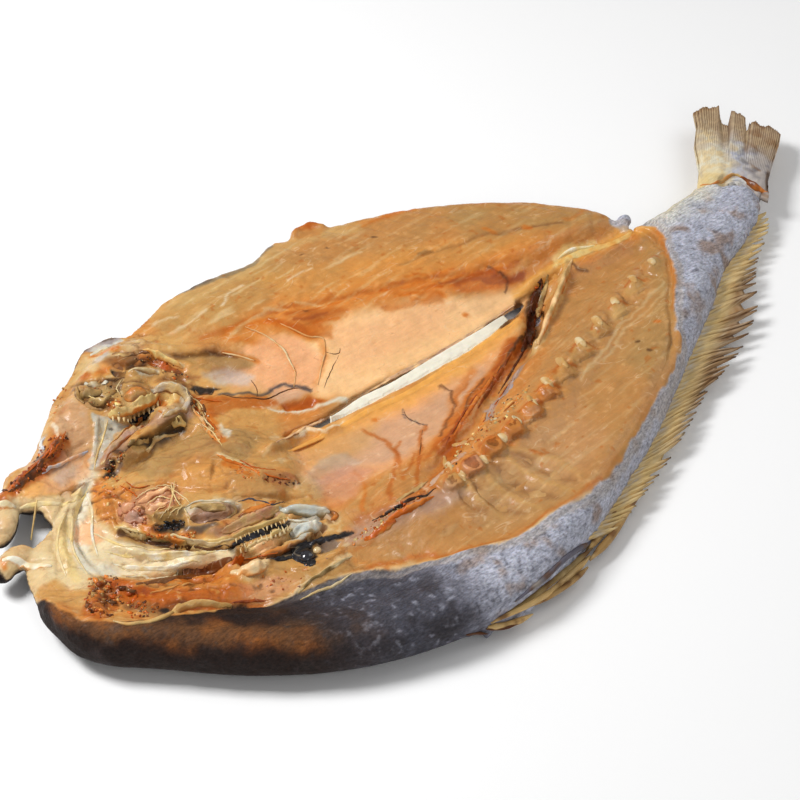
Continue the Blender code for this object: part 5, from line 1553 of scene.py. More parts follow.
backFinSet = {
    "from": -24.0,
    "to": 130.0,
    "step": 2.5,
    "tips": [(-20, -84.5), (0, -79), (20, -71.5), (40, -62.5), (59, -53), (67, -51), (80, -46), (86.5, -42.3),
        (98, -35), (107, -25), (116.5, -16.3), (124.5, -11.5), (133.5, -4.5), (137, 1)],
    "reach": [(-24, 12), (0, 20), (30, 24), (80, 24), (100, 17), (125, 10), (130, 8)],
    "height": 7.4,
    "fall": 1.8,
    "ridge": 0.42,
    "torn": [(58.5, 0.34), (61.0, 0.30), (83.0, 0.62), (104.0, 0.55), (113.0, 0.5), (35.0, 0.55), (8.0, 0.6)],
}


def finFoot(x, inward=2.6):
    return np.array([x - 2.0, float(lineAt(bodyLines["nearEdge"], x - 2.0)) + inward])


def makeBackFin():
    # a swept fan: a thin ragged skin with a ray along every fold
    values = backFinSet
    rng = np.random.default_rng(17)
    count = int((values["to"] - values["from"]) / values["step"])
    rows = 14
    columns = count * 6
    starts = values["from"] + (values["to"] - values["from"]) * np.arange(columns + 1) / columns
    lengths = 0.84 + 0.22 * rng.random(count + 1)
    for i in range(0, count + 1, 5):
        lengths[i] += 0.08
    feet, tips = [], []
    for column, x in enumerate(starts):
        share = lengths[min(column // 6, count)]
        reach = float(lineAt(values["reach"], x)) * share
        tipX = min(x + reach, values["tips"][-1][0] - 0.2)
        foot = finFoot(x)
        tip = np.array([tipX, float(lineAt(values["tips"], tipX)) + 0.8])
        cut = (0.72, 0.93, 1.0, 1.0, 0.90, 0.78)[column % 6]
        for at, depth in values["torn"]:
            cut = min(cut, depth + abs(x - at) * 0.55)
        feet.append(foot)
        tips.append(foot + (tip - foot) * cut)
    feet, tips = np.array(feet), np.array(tips)
    bm = bmesh.new()
    bmesh.ops.create_grid(bm, x_segments=columns, y_segments=rows, size=1.0)
    order = inOrder(bm.verts)
    for number, vert in enumerate(order):
        column, row = divmod(number, rows + 1)
        share = row / rows
        spot = feet[column] + (tips[column] - feet[column]) * share
        ridge = math.cos(2 * math.pi * (column / 6 - 0.4))
        z = values["height"] - values["fall"] * share - 0.5 * (1 - share) ** 2
        z += ridge * values["ridge"] * min(1, share * 3)
        vert.co = (spot[0], spot[1], z)
    for vert in bm.verts:
        vert.co.z += 0.5 * math.sin(vert.co.x * 0.21) * max(0, min(1, (7.6 - vert.co.z)))
    faceUp(bm)
    setDown(bm)
    fin = newObject("backFin", bm)
    giveWall(fin, 0.55, -0.5)
    points = drawingPoints(fin.data)
    near = lineAt(bodyLines["nearEdge"], points[:, 0])
    out = near - points[:, 1]                     # how far outside the body's edge
    spots = cloud(points, 5.0, 81)
    fine = cloud(points, 1.3, 82, 2)
    ray = np.cos(2 * math.pi * (points[:, 0] - out * 1.15 + 0.3 * spots) / values["step"]) * 0.5 + 0.5
    tone = mixTones("cream", "butter", np.clip(0.5 + 0.5 * spots, 0, 1))
    tint(tone, "silver", ease(fine, -0.2, 0.7) * 0.8 * ease(-out, -5.5, -1.0))
    tint(tone, "straw", 0.6 * ray)
    dark = ease(out + 1.2 * spots, 4.5, 11.0)
    tone += (mixTones("ash", "brown", np.clip(0.6 + 0.5 * fine, 0, 1)) - tone) * (dark * 0.75)[:, None]
    tint(tone, "umber", dark * ease(ray, 0.6, 1.0) * 0.75)
    paintPlain(fin, tone)
    return fin


def tubeAlong(bm, points, radii, sides=7):
    # a tapered tube through the points, closed at both ends, grown ring by ring
    points = [Vector(p) for p in points]
    ring = None
    for i, point in enumerate(points):
        before = points[max(i - 1, 0)]
        after = points[min(i + 1, len(points) - 1)]
        turn = (after - before).to_track_quat("Z", "Y").to_matrix().to_4x4()
        place = Matrix.Translation(point) @ turn
        made = bmesh.ops.create_circle(bm, segments=sides, radius=max(radii[i], 0.02), matrix=place,
                                       cap_ends=i in (0, len(points) - 1))["verts"]
        edges = list({e for vert in made for e in vert.link_edges})
        if ring is not None:
            bmesh.ops.bridge_loops(bm, edges=ring + edges)
        ring = edges


def smoothRun(points, steps):
    # more points along a soft line through the given ones
    points = np.array([list(p) for p in points], float)
    if len(points) < 3:
        return [Vector(points[0] + (points[-1] - points[0]) * t) for t in np.linspace(0, 1, steps)]
    lengths = np.concatenate([[0], np.cumsum(np.linalg.norm(np.diff(points, axis=0), axis=1))])
    at = np.linspace(0, lengths[-1], steps)
    slopes = np.gradient(points, lengths, axis=0)
    i = np.clip(np.searchsorted(lengths, at, side="right") - 1, 0, len(points) - 2)
    h = (lengths[i + 1] - lengths[i])[:, None]
    t = ((at - lengths[i]) / h[:, 0])[:, None]
    made = ((1 + 2 * t) * (1 - t) ** 2 * points[i] + t * (1 - t) ** 2 * h * slopes[i]
            + t * t * (3 - 2 * t) * points[i + 1] + t * t * (t - 1) * h * slopes[i + 1])
    return [Vector(p) for p in made]


spineSet = {   # the stiff front spines of the back fin, folded flat along the near edge: line, radius, colour
    "upperSlate": ([(592, 541), (563, 560), (542, 580), (527, 592), (515, 602)], 1.0, "slate"),
    "upperOlive": ([(592, 548), (569, 568), (554, 580), (535, 595), (519, 606), (505, 614)], 1.0, "olive"),
    "middleStraw": ([(590, 556), (569, 576), (552, 590), (531, 602), (513, 612), (491, 623)], 1.35, "straw"),
    "lowerBrown": ([(588, 567), (574, 580), (563, 588), (545, 599), (530, 607)], 0.9, "khaki"),
    "short": ([(488, 627), (506, 625), (521, 620), (533, 614)], 1.1, "straw"),
    "shortRim": ([(486, 629), (504, 628), (518, 624)], 0.6, "walnut"),
    "barb": ([(466, 635), (477, 633), (488, 634)], 0.55, "walnut"),
    "hiddenA": ([(586, 552), (604, 530), (622, 500), (640, 470)], 1.3, "straw"),
    "hiddenB": ([(590, 560), (610, 538), (630, 505), (650, 474)], 1.3, "khaki"),
}


def onFlank(px, py, radius):
    # on the flank where it is seen, or else beside it at the height of the fin
    spot = onFish(px, py)
    beside = atHeight(px, py, 4.4)
    if abs(spot.z - edgeHeight) < 0.01 or spot.z < beside.z:
        return beside
    return spot + (eyePoint() - spot).normalized() * radius * 0.35


def makeSpines():
    bm = bmesh.new()
    tones = []
    for line, radius, tone in spineSet.values():
        run = smoothRun([onFlank(px, py, radius) for px, py in line], 26)
        count = len(run)
        radii = [radius * min(1, 0.3 + 5 * i / count, 0.2 + 3 * (count - 1 - i) / count) for i in range(count)]
        before = len(bm.verts)
        tubeAlong(bm, run, radii, 10)
        tones += [palette[tone]] * (len(bm.verts) - before)
    bmesh.ops.recalc_face_normals(bm, faces=bm.faces)
    for vert in bm.verts:
        vert.co.z = max(vert.co.z, 0.9)
    setDown(bm)
    made = newObject("backSpines", bm)
    points = drawingPoints(made.data)
    tone = np.array(tones, float)
    # painted shade: the spines are darker in umber on their lower side
    tint(tone, "umber", ease(-points[:, 2], -4.2, -3.0) * 0.7)
    tint(tone, "cream", ease(cloud(points, 6.0, 91), 0.1, 0.8) * 0.35)
    tint(tone, "walnut", ease(cloud(points, 2.6, 92, 2), 0.2, 0.8) * 0.6)
    paintPlain(made, tone)
    return made


def makeThreads(name, runs, tone, second, wave, seed, sides=6):
    # runs: (points on the fish, radius, lift)
    rng = np.random.default_rng(seed)
    bm = bmesh.new()
    for line, radius, lift in runs:
        run = smoothRun(onFishLine(line, lift), max(6, len(line) * 5))
        count = len(run)
        for point in run[1:-1]:
            point += Vector((rng.normal(), rng.normal(), rng.normal() * 0.4)) * wave
        radii = [radius * (0.35 + 0.65 * math.sin(math.pi * (i + 0.6) / (count + 0.2))) for i in range(count)]
        tubeAlong(bm, run, radii, sides)
    bmesh.ops.recalc_face_normals(bm, faces=bm.faces)
    setDown(bm)
    made = newObject(name, bm)
    points = drawingPoints(made.data)
    paintPlain(made, mixTones(tone, second, np.clip(0.5 + 0.7 * cloud(points, 4.0, seed + 5), 0, 1)))
    return made


toothSet = {
    "nearUpper": {"gum": [(236, 539), (246, 534), (256, 530), (268, 526), (278, 522), (288, 518)],
        "down": (0.6, -1.9), "count": 13, "length": 1.9, "radius": 0.42},
    "nearLower": {"gum": [(241, 550), (250, 546), (262, 541), (274, 535), (288, 529)], "down": (-0.5, 2.2),
        "count": 12, "length": 1.9, "radius": 0.45},
    "far": {"gum": [(113, 417), (122, 417), (132, 415), (142, 411), (150, 407), (157, 402)],
        "down": (0.6, -2.6), "count": 11, "length": 3.1, "radius": 0.78},
}


def makeTeeth():
    bm = bmesh.new()
    rng = np.random.default_rng(5)
    right, above = viewAxes()[1:]
    for values in toothSet.values():
        gum = smoothRun(onFishLine(values["gum"]), values["count"])
        for root in gum:
            size = 0.75 + 0.5 * rng.random()
            sway = rng.normal() * 0.25
            side, drop = values["down"]
            aim = right * (side + sway) + Vector((above.x, above.y, 0)).normalized() * drop
            tip = root + aim.normalized() * (values["length"] * size)
            tip.z = root.z + 0.5
            foot = root - (tip - root) * 0.5
            foot.z -= 0.3
            middle = foot.lerp(tip, 0.6) + Vector((0, 0, 0.15))
            tubeAlong(bm, [foot, foot.lerp(middle, 0.5), middle, tip],
                      [values["radius"] * size * k for k in (1.0, 0.95, 0.6, 0.12)], 8)
    bmesh.ops.recalc_face_normals(bm, faces=bm.faces)
    setDown(bm)
    made = newObject("teeth", bm)
    points = drawingPoints(made.data)
    paintPlain(made, mixTones("cream", "straw", np.clip(0.45 + 0.6 * cloud(points, 1.6, 95), 0, 1)))
    return made


ballSet = {   # place, radius, flattening
    "eyeBall": ((307, 558), 2.3, 0.75),
    "eyeLens": ((317, 551), 1.35, 0.7),
}


def makeBall(name):
    place, radius, low = ballSet[name]
    bm = bmesh.new()
    bmesh.ops.create_uvsphere(bm, u_segments=32, v_segments=20, radius=radius)
    for vert in bm.verts:
        swell = 1 + 0.06 * math.sin(vert.co.x * 2.1 + vert.co.y * 1.3)
        vert.co = Vector((vert.co.x * swell, vert.co.y * swell, vert.co.z * low))
    spot = onFish(*place)
    bmesh.ops.translate(bm, verts=bm.verts, vec=spot + Vector((0, 0, radius * low * 0.35)))
    setDown(bm)
    return newObject(name, bm)


def plainGloss(name, colour, other, rough, coat, size):
    # a small wet piece with a clouded colour
    made = newMaterial(name)
    tree, shader = made["tree"], made["shader"]
    place = addNode(tree, "ShaderNodeTexCoord").outputs["Object"]
    noise = noiseNode(tree, place, size, 3.0)
    mix = addNode(tree, "ShaderNodeMix", {0: noise, 6: (*lightOf(palette[colour]), 1),
                                          7: (*lightOf(palette[other]), 1)}, data_type="RGBA")
    tree.links.new(mix.outputs[2], shader.inputs["Base Color"])
    bump = addNode(tree, "ShaderNodeBump", {"Height": noise, "Strength": 0.25, "Distance": 0.0003})
    tree.links.new(bump.outputs[0], shader.inputs["Normal"])
    shader.inputs["Roughness"].default_value = rough
    shader.inputs["Coat Weight"].default_value = coat
    shader.inputs["Coat Roughness"].default_value = 0.08
    return made["material"]


stripSet = {
    "step": 0.42,            # length and width of a strip's cells
    "cell": 0.36,
    "wall": 0.45,
    "rise": 1.3,             # most that a strip rises over its middle line
    "lipDepth": 4.5,         # a tilted sheet is hidden by what lies up to this far below its middle line
    "lipGap": 0.3,
}


def strip(wide, high, tone, second, line, **other):
    # A raised band on the fish: half its width, its height, two colours and its middle line. Then the colour of its
    # rims, how lumpy it is, how deep its rims sink, how far it hangs below its line, where it lies beside and below
    # that line, how blunt its ends are, how far it tilts, and how much thinner it is at its end.
    values = {"rim": None, "lump": 0.12, "drop": 0.25, "hang": 1.3, "shift": 0.0, "sink": 0.0, "blunt": 0.5,
              "tilt": 0.0, "thin": 0.0}
    return {"line": line, "wide": wide, "high": high, "tone": tone, "second": second, **values, **other}


def makeStrips(name, strips):
    bm = bmesh.new()
    tones = []
    for number, values in enumerate(strips):
        ends = onFishLine(values["line"])
        length = sum((b - a).length for a, b in zip(ends, ends[1:]))
        steps = max(10, int(length / stripSet["step"]))
        across = max(6, min(20, int(values["wide"] * 2 / stripSet["cell"])))
        run = smoothRun(ends, steps)
        bmesh.ops.create_grid(bm, x_segments=steps - 1, y_segments=across, size=1.0)
        bm.verts.ensure_lookup_table()
        new = inOrder(bm.verts[-steps * (across + 1):])
        spots = np.zeros((len(new), 3))
        sides = np.zeros(len(new))
        crown = np.zeros(len(new))
        for k in range(len(new)):
            step, row = divmod(k, across + 1)
            ahead = run[min(step + 1, steps - 1)] - run[max(step - 1, 0)]
            side = Vector((-ahead.y, ahead.x, 0)).normalized()
            share = step / (steps - 1)
            swell = math.sin(math.pi * (share * 0.94 + 0.03)) ** values["blunt"] * (1 - values["thin"] * share)
            v = row / across * 2 - 1
            at = run[step] + side * (v * values["wide"] + values["shift"]) * swell
            found = lookDown(at.x, at.y)[0]
            middle = run[step].z
            z = found.z if found is not None else middle
            z = min(max(z, middle - values["hang"]), middle + min(values["hang"], stripSet["rise"]))
            z -= values["sink"]
            covered = values["tilt"] and found is not None and found.z > middle - stripSet["lipDepth"]
            sunk = found.z - stripSet["lipGap"] if covered else overAll
            crown[k] = swell * (1 - v * v) ** 0.6
            z = min(z + values["high"] * crown[k] - values["drop"] * abs(v) ** 6 + values["tilt"] * v, sunk)
            spots[k] = (at.x, at.y, z)
            sides[k] = abs(v)
        uneven = cloud(spots, 1.9, 201 + number, 2)
        spots[:, 2] += uneven * values["lump"] * np.clip(crown * 1.5, 0, 1)
        spots[:, :2] += uneven[:, None] * values["lump"] * 0.6
        for vert, spot in zip(new, spots):
            vert.co = spot
        share = np.clip(0.5 + 0.9 * cloud(spots, 3.4, 301 + number), 0, 1)
        tone = mixTones(values["tone"], values["second"], share)
        if values["rim"]:
            edge = ease(sides + 0.2 * uneven, 0.55, 0.95) * 0.7
            tint(tone, values["rim"], edge)
        tones += [(vert, colour) for vert, colour in zip(new, tone)]
    bm.verts.index_update()
    painted = np.zeros((len(bm.verts), 3))
    for vert, colour in tones:
        painted[vert.index] = colour
    for face in bm.faces:
        face.normal_update()
        if face.normal.z < 0:
            face.normal_flip()
    setDown(bm)
    made = newObject(name, bm)
    paintPlain(made, painted)
    giveWall(made, stripSet["wall"])
    print(name, "triangles:", sum(len(p.vertices) - 2 for p in made.data.polygons))
    return made


slitEdge = [(288, 451), (323, 435), (355, 419), (368, 411), (403, 396), (433, 378), (473, 351), (503, 330),
            (518, 317)]
slitStrips = [
    strip(5.1, 0.0, "ivory", "ivory", [(328, 431), (352, 421), (370, 411), (403, 397), (433, 379), (473, 352),
        (494, 336), (510, 320)], lump=0.15, drop=0.0, hang=0.0, shift=2.7, sink=0.35, blunt=0.4, tilt=1.3,
        thin=0.15),
]
cutStrips = [
    strip(0.5, 0.7, "orange", "straw", [(700, 186), (712, 184), (721, 182), (729, 177), (736, 175),
        (744, 179)], lump=0.2),
    strip(1.0, 0.9, "orange", "chestnut", [(740, 177), (748, 182), (757, 188), (769, 193)], rim="brown",
        lump=0.2),
    # painted highlight: an ivory and silver band on the cut flesh of the tail
    strip(0.5, 0.9, "ivory", "silver", [(732, 180), (740, 180), (747, 184)], lump=0.1),
]
lipStrips = [
    strip(1.5, 0.15, "glow", "glow", slitEdge, lump=0.05, hang=0.4, drop=0.3),
    strip(0.9, 0.2, "clay", "peach", [(276, 442), (300, 430), (326, 418), (350, 403), (368, 391), (398, 375),
        (438, 354), (468, 336), (498, 316), (514, 305)], rim="brown", lump=0.12, hang=0.5),
]

tipStrips = [strip(1.5, 0.4, "cream", "honey", tip, rim="honey", lump=0.12) for *rest, tip in vertebraSet]
spineStrips = [
    strip(2.0, 0.5, "fat", "butter", [(632, 232), (612, 243), (592, 249), (572, 256), (556, 265)], lump=0.2),
    # painted highlight: an ivory band along the top of the fat roll
    strip(0.8, 0.9, "ivory", "butter", [(596, 246), (580, 249), (568, 252), (558, 259)]),
    strip(1.5, 1.0, "straw", "peach", [(572, 260), (562, 282), (553, 305), (545, 325), (538, 345)],
        rim="ember"),
    strip(1.2, 0.7, "straw", "olive", [(548, 275), (545, 290), (541, 302), (538, 314)], rim="brown"),
    strip(1.9, 0.8, "umber", "blood", [(542, 280), (535, 298), (531, 318), (530, 336), (522, 352)], rim="rust",
        lump=0.7),
    strip(0.5, 0.4, "blood", "walnut", [(526, 348), (516, 364), (508, 378), (498, 394)], lump=0.3),
    strip(0.9, 0.3, "rust", "orange", [(500, 366), (488, 384), (476, 400), (464, 418), (454, 436)], lump=0.3),
    strip(0.7, 0.3, "chestnut", "rust", [(512, 352), (502, 370), (490, 388), (478, 408)], lump=0.3),
    strip(1.1, 0.25, "lilac", "clay", [(522, 366), (514, 378), (506, 394), (494, 404), (488, 416)],
        rim="brown", lump=0.5),
    strip(0.6, 0.3, "orange", "rust", [(514, 376), (502, 394), (492, 410), (480, 426)], lump=0.4),
    strip(0.5, 0.3, "brick", "rust", [(482, 388), (470, 404), (458, 422), (446, 444)], lump=0.4),
    strip(1.2, 0.4, "honey", "orange", [(486, 412), (482, 422), (486, 432)], rim="rust", lump=0.5),
    strip(1.2, 0.4, "honey", "cream", [(444, 456), (446, 464), (452, 470)], rim="rust", lump=0.4),
    strip(1.2, 0.5, "orange", "butter", [(528, 388), (520, 396), (510, 404), (500, 414)], rim="rust", lump=0.5),
    strip(1.6, 0.4, "clay", "honey", [(474, 440), (462, 444), (452, 446)], rim="rust", lump=0.4),
    strip(1.8, 0.4, "clay", "rose", [(466, 452), (456, 460), (448, 466)], rim="orange", lump=0.4),
    strip(1.5, 0.4, "ash", "clay", [(444, 470), (436, 478), (430, 486)], rim="orange", lump=0.3),
    strip(1.3, 0.5, "khaki", "straw", [(428, 480), (420, 487), (408, 494), (396, 502)], rim="brown", lump=0.3),
    strip(0.7, 0.3, "umber", "bark", [(436, 488), (424, 496), (412, 499), (402, 505), (390, 511), (372, 521)]),
    strip(1.0, 0.6, "ember", "orange", [(434, 496), (420, 503), (406, 509), (394, 516), (382, 527)], lump=0.6),
    strip(1.3, 0.6, "rust", "ember", [(396, 520), (380, 530), (364, 540)], rim="butter", lump=0.6),
]

headStrips = [
    # far half
    strip(0.9, 0.9, "butter", "orange", [(142, 350), (156, 354), (172, 361), (182, 368)], rim="ember"),
    # painted shade: black sheets in the far and near gapes of the mouth
    strip(1.0, 0.10, "soot", "ink", [(130, 423), (140, 420), (149, 415), (154, 411)], lump=0.1),
    strip(1.5, 0.3, "soot", "ink", [(233, 545), (247, 540), (259, 535), (271, 530), (286, 524)], lump=0.1),
    # painted shade: a thin brown band under the near lip
    strip(0.45, 0.10, "brown", "umber", [(120, 534), (150, 544), (176, 547), (204, 549), (232, 547)], lump=0.1),
    strip(1.2, 0.40, "soot", "ink", [(266, 559), (280, 560), (292, 555), (302, 547), (316, 541), (334, 537),
        (354, 533)], lump=0.5),
    strip(2.4, 0.5, "soot", "ink", [(292, 556), (303, 560), (314, 566)], lump=0.5),
    strip(1.0, 0.6, "cream", "straw", [(128, 372), (144, 370), (159, 374)], rim="brown"),
    strip(1.3, 1.1, "ash", "straw", [(151, 391), (161, 387), (173, 388), (183, 392), (188, 399), (186, 407),
        (174, 412), (163, 418)], rim="brown", lump=0.4),
    strip(1.6, 1.2, "mauve", "straw", [(168, 415), (148, 422), (131, 432), (119, 442), (107, 455), (101, 464)],
        rim="rust", lump=0.5),
    strip(0.5, 0.7, "straw", "ember", [(162, 413), (146, 419), (130, 428), (116, 439), (104, 452)]),
    strip(1.6, 1.3, "butter", "straw", [(108, 416), (124, 410), (141, 404), (152, 399), (158, 394)],
        rim="ember", lump=0.5),
    strip(2.0, 1.0, "olive", "khaki", [(80, 394), (90, 393), (102, 391)], rim="umber", lump=0.4),
    strip(1.5, 0.8, "khaki", "bone", [(84, 385), (94, 384), (108, 382)], rim="umber", lump=0.4),
    strip(1.3, 0.8, "olive", "straw", [(88, 402), (98, 402), (110, 399)], rim="umber", lump=0.4),
    strip(1.1, 1.0, "straw", "khaki", [(76, 388), (78, 397), (84, 404)], rim="walnut", lump=0.3),
    strip(2.6, 1.2, "khaki", "orange", [(124, 398), (134, 394), (147, 393)], rim="brown", lump=0.3),
    strip(0.9, 0.9, "butter", "olive", [(172, 425), (179, 421), (186, 424)]),
    strip(0.6, 0.6, "cream", "straw", [(146, 451), (156, 440), (166, 436), (178, 433)]),
    strip(1.0, 0.5, "straw", "olive", [(128, 446), (140, 442), (149, 441)], rim="umber", lump=0.3),
    strip(0.7, 0.9, "orange", "cream", [(190, 399), (194, 410), (202, 421), (212, 436), (220, 443)], lump=0.3),
    strip(0.6, 0.8, "chestnut", "butter", [(196, 399), (200, 409), (206, 420)], lump=0.3),
    strip(0.5, 0.8, "umber", "brown", [(203, 404), (204, 412), (200, 418)]),
    strip(0.6, 0.4, "ember", "orange", [(216, 454), (226, 460), (238, 464), (252, 469), (260, 476)], lump=0.3),
    strip(1.2, 0.4, "brown", "straw", [(112, 354), (126, 355), (140, 352), (150, 356)], rim="umber", lump=0.3),
    strip(1.4, 0.5, "rust", "brown", [(146, 362), (158, 365), (170, 370), (182, 374)], lump=0.4),
    strip(1.1, 0.5, "cream", "bone", [(90, 356), (98, 351), (108, 347)], rim="orange", lump=0.3),
    # near half
    strip(0.5, 0.8, "butter", "cream", [(116, 527), (130, 533), (147, 538), (165, 541), (178, 537), (190, 541),
        (204, 544), (217, 544), (226, 541), (234, 538)], rim="khaki"),
    strip(1.5, 0.9, "straw", "rose", [(222, 533), (238, 525), (252, 518), (268, 512), (282, 508)], rim="olive"),
    strip(0.5, 1.1, "butter", "straw", [(232, 538), (244, 532), (258, 528), (270, 523), (286, 518)]),
    strip(1.8, 1.0, "straw", "peach", [(242, 556), (256, 551), (270, 545), (284, 540), (298, 534)],
        rim="walnut"),
    strip(0.5, 1.3, "butter", "cream", [(240, 551), (252, 546), (265, 541), (279, 534), (292, 529)]),
    strip(1.9, 1.2, "iceBone", "bone", [(279, 510), (295, 508), (313, 510), (330, 512)], rim="olive", lump=0.1),
    strip(2.0, 1.2, "iceBone", "ivory", [(290, 536), (300, 531), (310, 527), (321, 523)], rim="khaki",
        lump=0.1),
    strip(1.0, 1.2, "bone", "iceBone", [(288, 520), (298, 522), (310, 522)], rim="khaki", lump=0.1),
    strip(1.0, 1.0, "brown", "orange", [(331, 511), (336, 516), (331, 521)], lump=0.2),
    strip(2.4, 0.9, "cream", "peach", [(230, 573), (244, 569), (256, 566), (266, 563)], rim="orange",
        lump=0.15),
    strip(0.8, 0.9, "ember", "rust", [(232, 565), (240, 560), (247, 552)], lump=0.3),
    strip(1.8, 0.5, "chestnut", "brown", [(136, 584), (158, 581), (179, 577), (200, 571), (216, 566),
        (232, 559)], lump=0.15),
    strip(0.45, 0.5, "straw", "orange", [(150, 593), (168, 589), (188, 584), (204, 583)]),
    strip(1.2, 0.8, "straw", "honey", [(113, 621), (130, 624), (146, 622), (165, 616), (179, 608), (197, 603),
        (218, 605), (232, 606)], rim="khaki"),
    strip(0.6, 0.2, "brick", "rust", [(190, 602), (204, 600), (218, 602)]),
    strip(0.6, 0.2, "brick", "rust", [(232, 603), (250, 601), (266, 600)]),
    strip(0.5, 0.7, "bone", "straw", [(184, 507), (197, 502), (214, 501), (232, 504), (236, 511), (227, 518)]),
    strip(1.4, 0.5, "olive", "straw", [(190, 508), (206, 506), (226, 508)], rim="umber"),
    strip(1.5, 0.6, "mauve", "brown", [(190, 519), (208, 518), (228, 515)], rim="umber", lump=0.3),
    strip(1.2, 0.5, "orange", "chestnut", [(238, 517), (250, 511), (264, 506), (276, 501)], rim="brown",
        lump=0.2),
    strip(0.4, 0.3, "ink", "slate", [(238, 502), (247, 499), (261, 501), (272, 505), (284, 502)]),
    strip(1.5, 0.9, "rose", "blush", [(118, 512), (127, 508), (135, 505)], rim="brick", lump=0.4),
    strip(1.7, 0.9, "rose", "mauve", [(124, 520), (134, 517), (144, 520)], rim="brick", lump=0.5),
    strip(1.3, 0.6, "blush", "peach", [(138, 503), (150, 496), (164, 490), (173, 492)], rim="brick", lump=0.3),
    strip(1.1, 0.5, "peach", "rose", [(148, 510), (158, 505), (168, 503)], rim="brick", lump=0.3),
    strip(0.6, 0.5, "butter", "ivory", [(104, 552), (130, 556), (160, 556), (196, 554), (228, 550)]),
    strip(0.6, 0.5, "ivory", "butter", [(112, 563), (140, 568), (170, 567), (200, 562)]),
    strip(0.6, 0.5, "butter", "cream", [(92, 533), (108, 540), (124, 546), (146, 549), (170, 549)]),
    strip(0.9, 0.5, "ash", "cream", [(126, 577), (142, 576), (160, 578), (178, 572)], rim="khaki"),
    strip(0.6, 0.5, "butter", "cream", [(90, 486), (78, 506), (72, 530), (76, 556), (88, 574)]),
    strip(0.6, 0.5, "milk", "cream", [(86, 492), (92, 512), (92, 534), (98, 556)]),
    strip(0.7, 0.5, "cream", "butter", [(66, 516), (58, 534), (58, 556), (66, 576)]),
    strip(0.4, 0.4, "butter", "straw", [(108, 420), (103, 438), (97, 456), (94, 470)]),
    strip(0.6, 0.4, "olive", "cream", [(298, 594), (306, 585), (322, 574), (338, 564), (352, 556)]),
    strip(0.5, 0.4, "cream", "straw", [(300, 600), (316, 592), (336, 584), (352, 574)]),
    # left side
    strip(1.8, 0.5, "rust", "umber", [(62, 436), (54, 446), (46, 458)], rim="orange", lump=0.9),
    strip(1.4, 0.5, "rust", "umber", [(50, 456), (38, 468), (24, 480), (8, 492)], rim="orange", lump=0.9),
    strip(0.8, 0.8, "silver", "ivory", [(45, 437), (41, 444), (44, 451)], lump=0.4),
    strip(1.6, 0.5, "cream", "ivory", [(-2, 504), (8, 504), (16, 508)], rim="orange", lump=0.2),
    strip(1.6, 0.5, "cream", "ivory", [(2, 560), (20, 562), (38, 566), (52, 566)], rim="orange", lump=0.2),
    strip(1.0, 0.5, "cream", "butter", [(20, 508), (40, 504), (60, 504), (76, 500)], lump=0.2),
    strip(0.6, 0.4, "blush", "silver", [(42, 474), (56, 466), (72, 458), (88, 451)]),
]

crumbAreas = [   # outline as the camera sees it, how many, size in millimetres, tones
    ([(88, 578), (112, 574), (134, 588), (138, 598), (120, 614), (96, 620), (84, 604)], 110, 1.15, ("rust",
        "chestnut", "orange", "rust", "brown", "honey")),
    ([(128, 604), (146, 600), (160, 606), (152, 618), (130, 618)], 40, 0.8, ("rust", "brick", "walnut",
        "ember")),
    ([(104, 402), (118, 399), (122, 407), (112, 412)], 24, 0.8, ("ember", "rust", "butter")),
    ([(150, 529), (167, 521), (181, 518), (187, 522), (178, 531), (161, 532)], 46, 0.85, ("soot", "ink",
        "soot", "umber")),
    ([(144, 531), (160, 534), (180, 534), (196, 531), (196, 538), (170, 540), (148, 537)], 46, 0.7, ("ember",
        "orange", "rust", "straw")),
    ([(114, 502), (134, 502), (148, 512), (148, 524), (124, 526), (114, 514)], 36, 0.9, ("rose", "blush",
        "rust")),
    ([(100, 478), (120, 470), (132, 482), (126, 500), (106, 506)], 40, 0.7, ("ember", "rust", "orange",
        "straw")),
    ([(110, 412), (128, 410), (142, 405), (152, 399), (154, 404), (140, 413), (124, 418)], 46, 0.65, ("butter",
        "straw", "orange", "cream")),
    ([(102, 462), (118, 452), (130, 444), (122, 462), (106, 478)], 40, 0.7, ("brown", "straw", "soot", "rust")),
    ([(186, 398), (200, 396), (210, 416), (224, 440), (214, 444), (198, 420)], 60, 0.6, ("butter", "brown",
        "ember", "cream", "umber")),
    ([(44, 440), (60, 432), (68, 438), (60, 454), (44, 470), (10, 498), (2, 490), (30, 466)], 90, 0.8, ("rust",
        "ember", "brick", "umber")),
    ([(534, 286), (546, 284), (540, 310), (534, 346), (526, 352), (526, 320)], 70, 0.75, ("umber", "blood",
        "brown", "rust")),
    ([(526, 386), (534, 384), (516, 410), (500, 424), (486, 438), (468, 452), (448, 474), (440, 470),
        (470, 436), (500, 404)], 110, 0.6, ("butter", "orange", "straw", "rust", "umber", "cream")),
    ([(440, 486), (420, 500), (396, 514), (372, 534), (350, 548), (352, 540), (390, 508), (424, 490)], 80, 0.6,
        ("ember", "orange", "butter", "rust")),
    ([(236, 574), (262, 574), (300, 566), (330, 556), (300, 590), (250, 600)], 30, 0.55, ("orange", "rose",
        "rust")),
    ([(222, 458), (240, 460), (262, 472), (256, 484), (236, 476)], 30, 0.55, ("ember", "orange", "butter")),
    ([(126, 356), (150, 352), (170, 362), (190, 376), (176, 382), (150, 366)], 40, 0.6, ("brown", "rust",
        "umber", "straw")),
    ([(90, 384), (118, 380), (124, 396), (108, 408), (90, 404)], 40, 0.55, ("olive", "straw", "umber", "rust")),
    ([(262, 474), (290, 474), (300, 482), (290, 492), (268, 488)], 24, 0.6, ("rust", "brick", "umber")),
    ([(60, 360), (80, 362), (70, 392), (56, 420), (48, 416)], 30, 0.55, ("orange", "straw", "rust")),
]


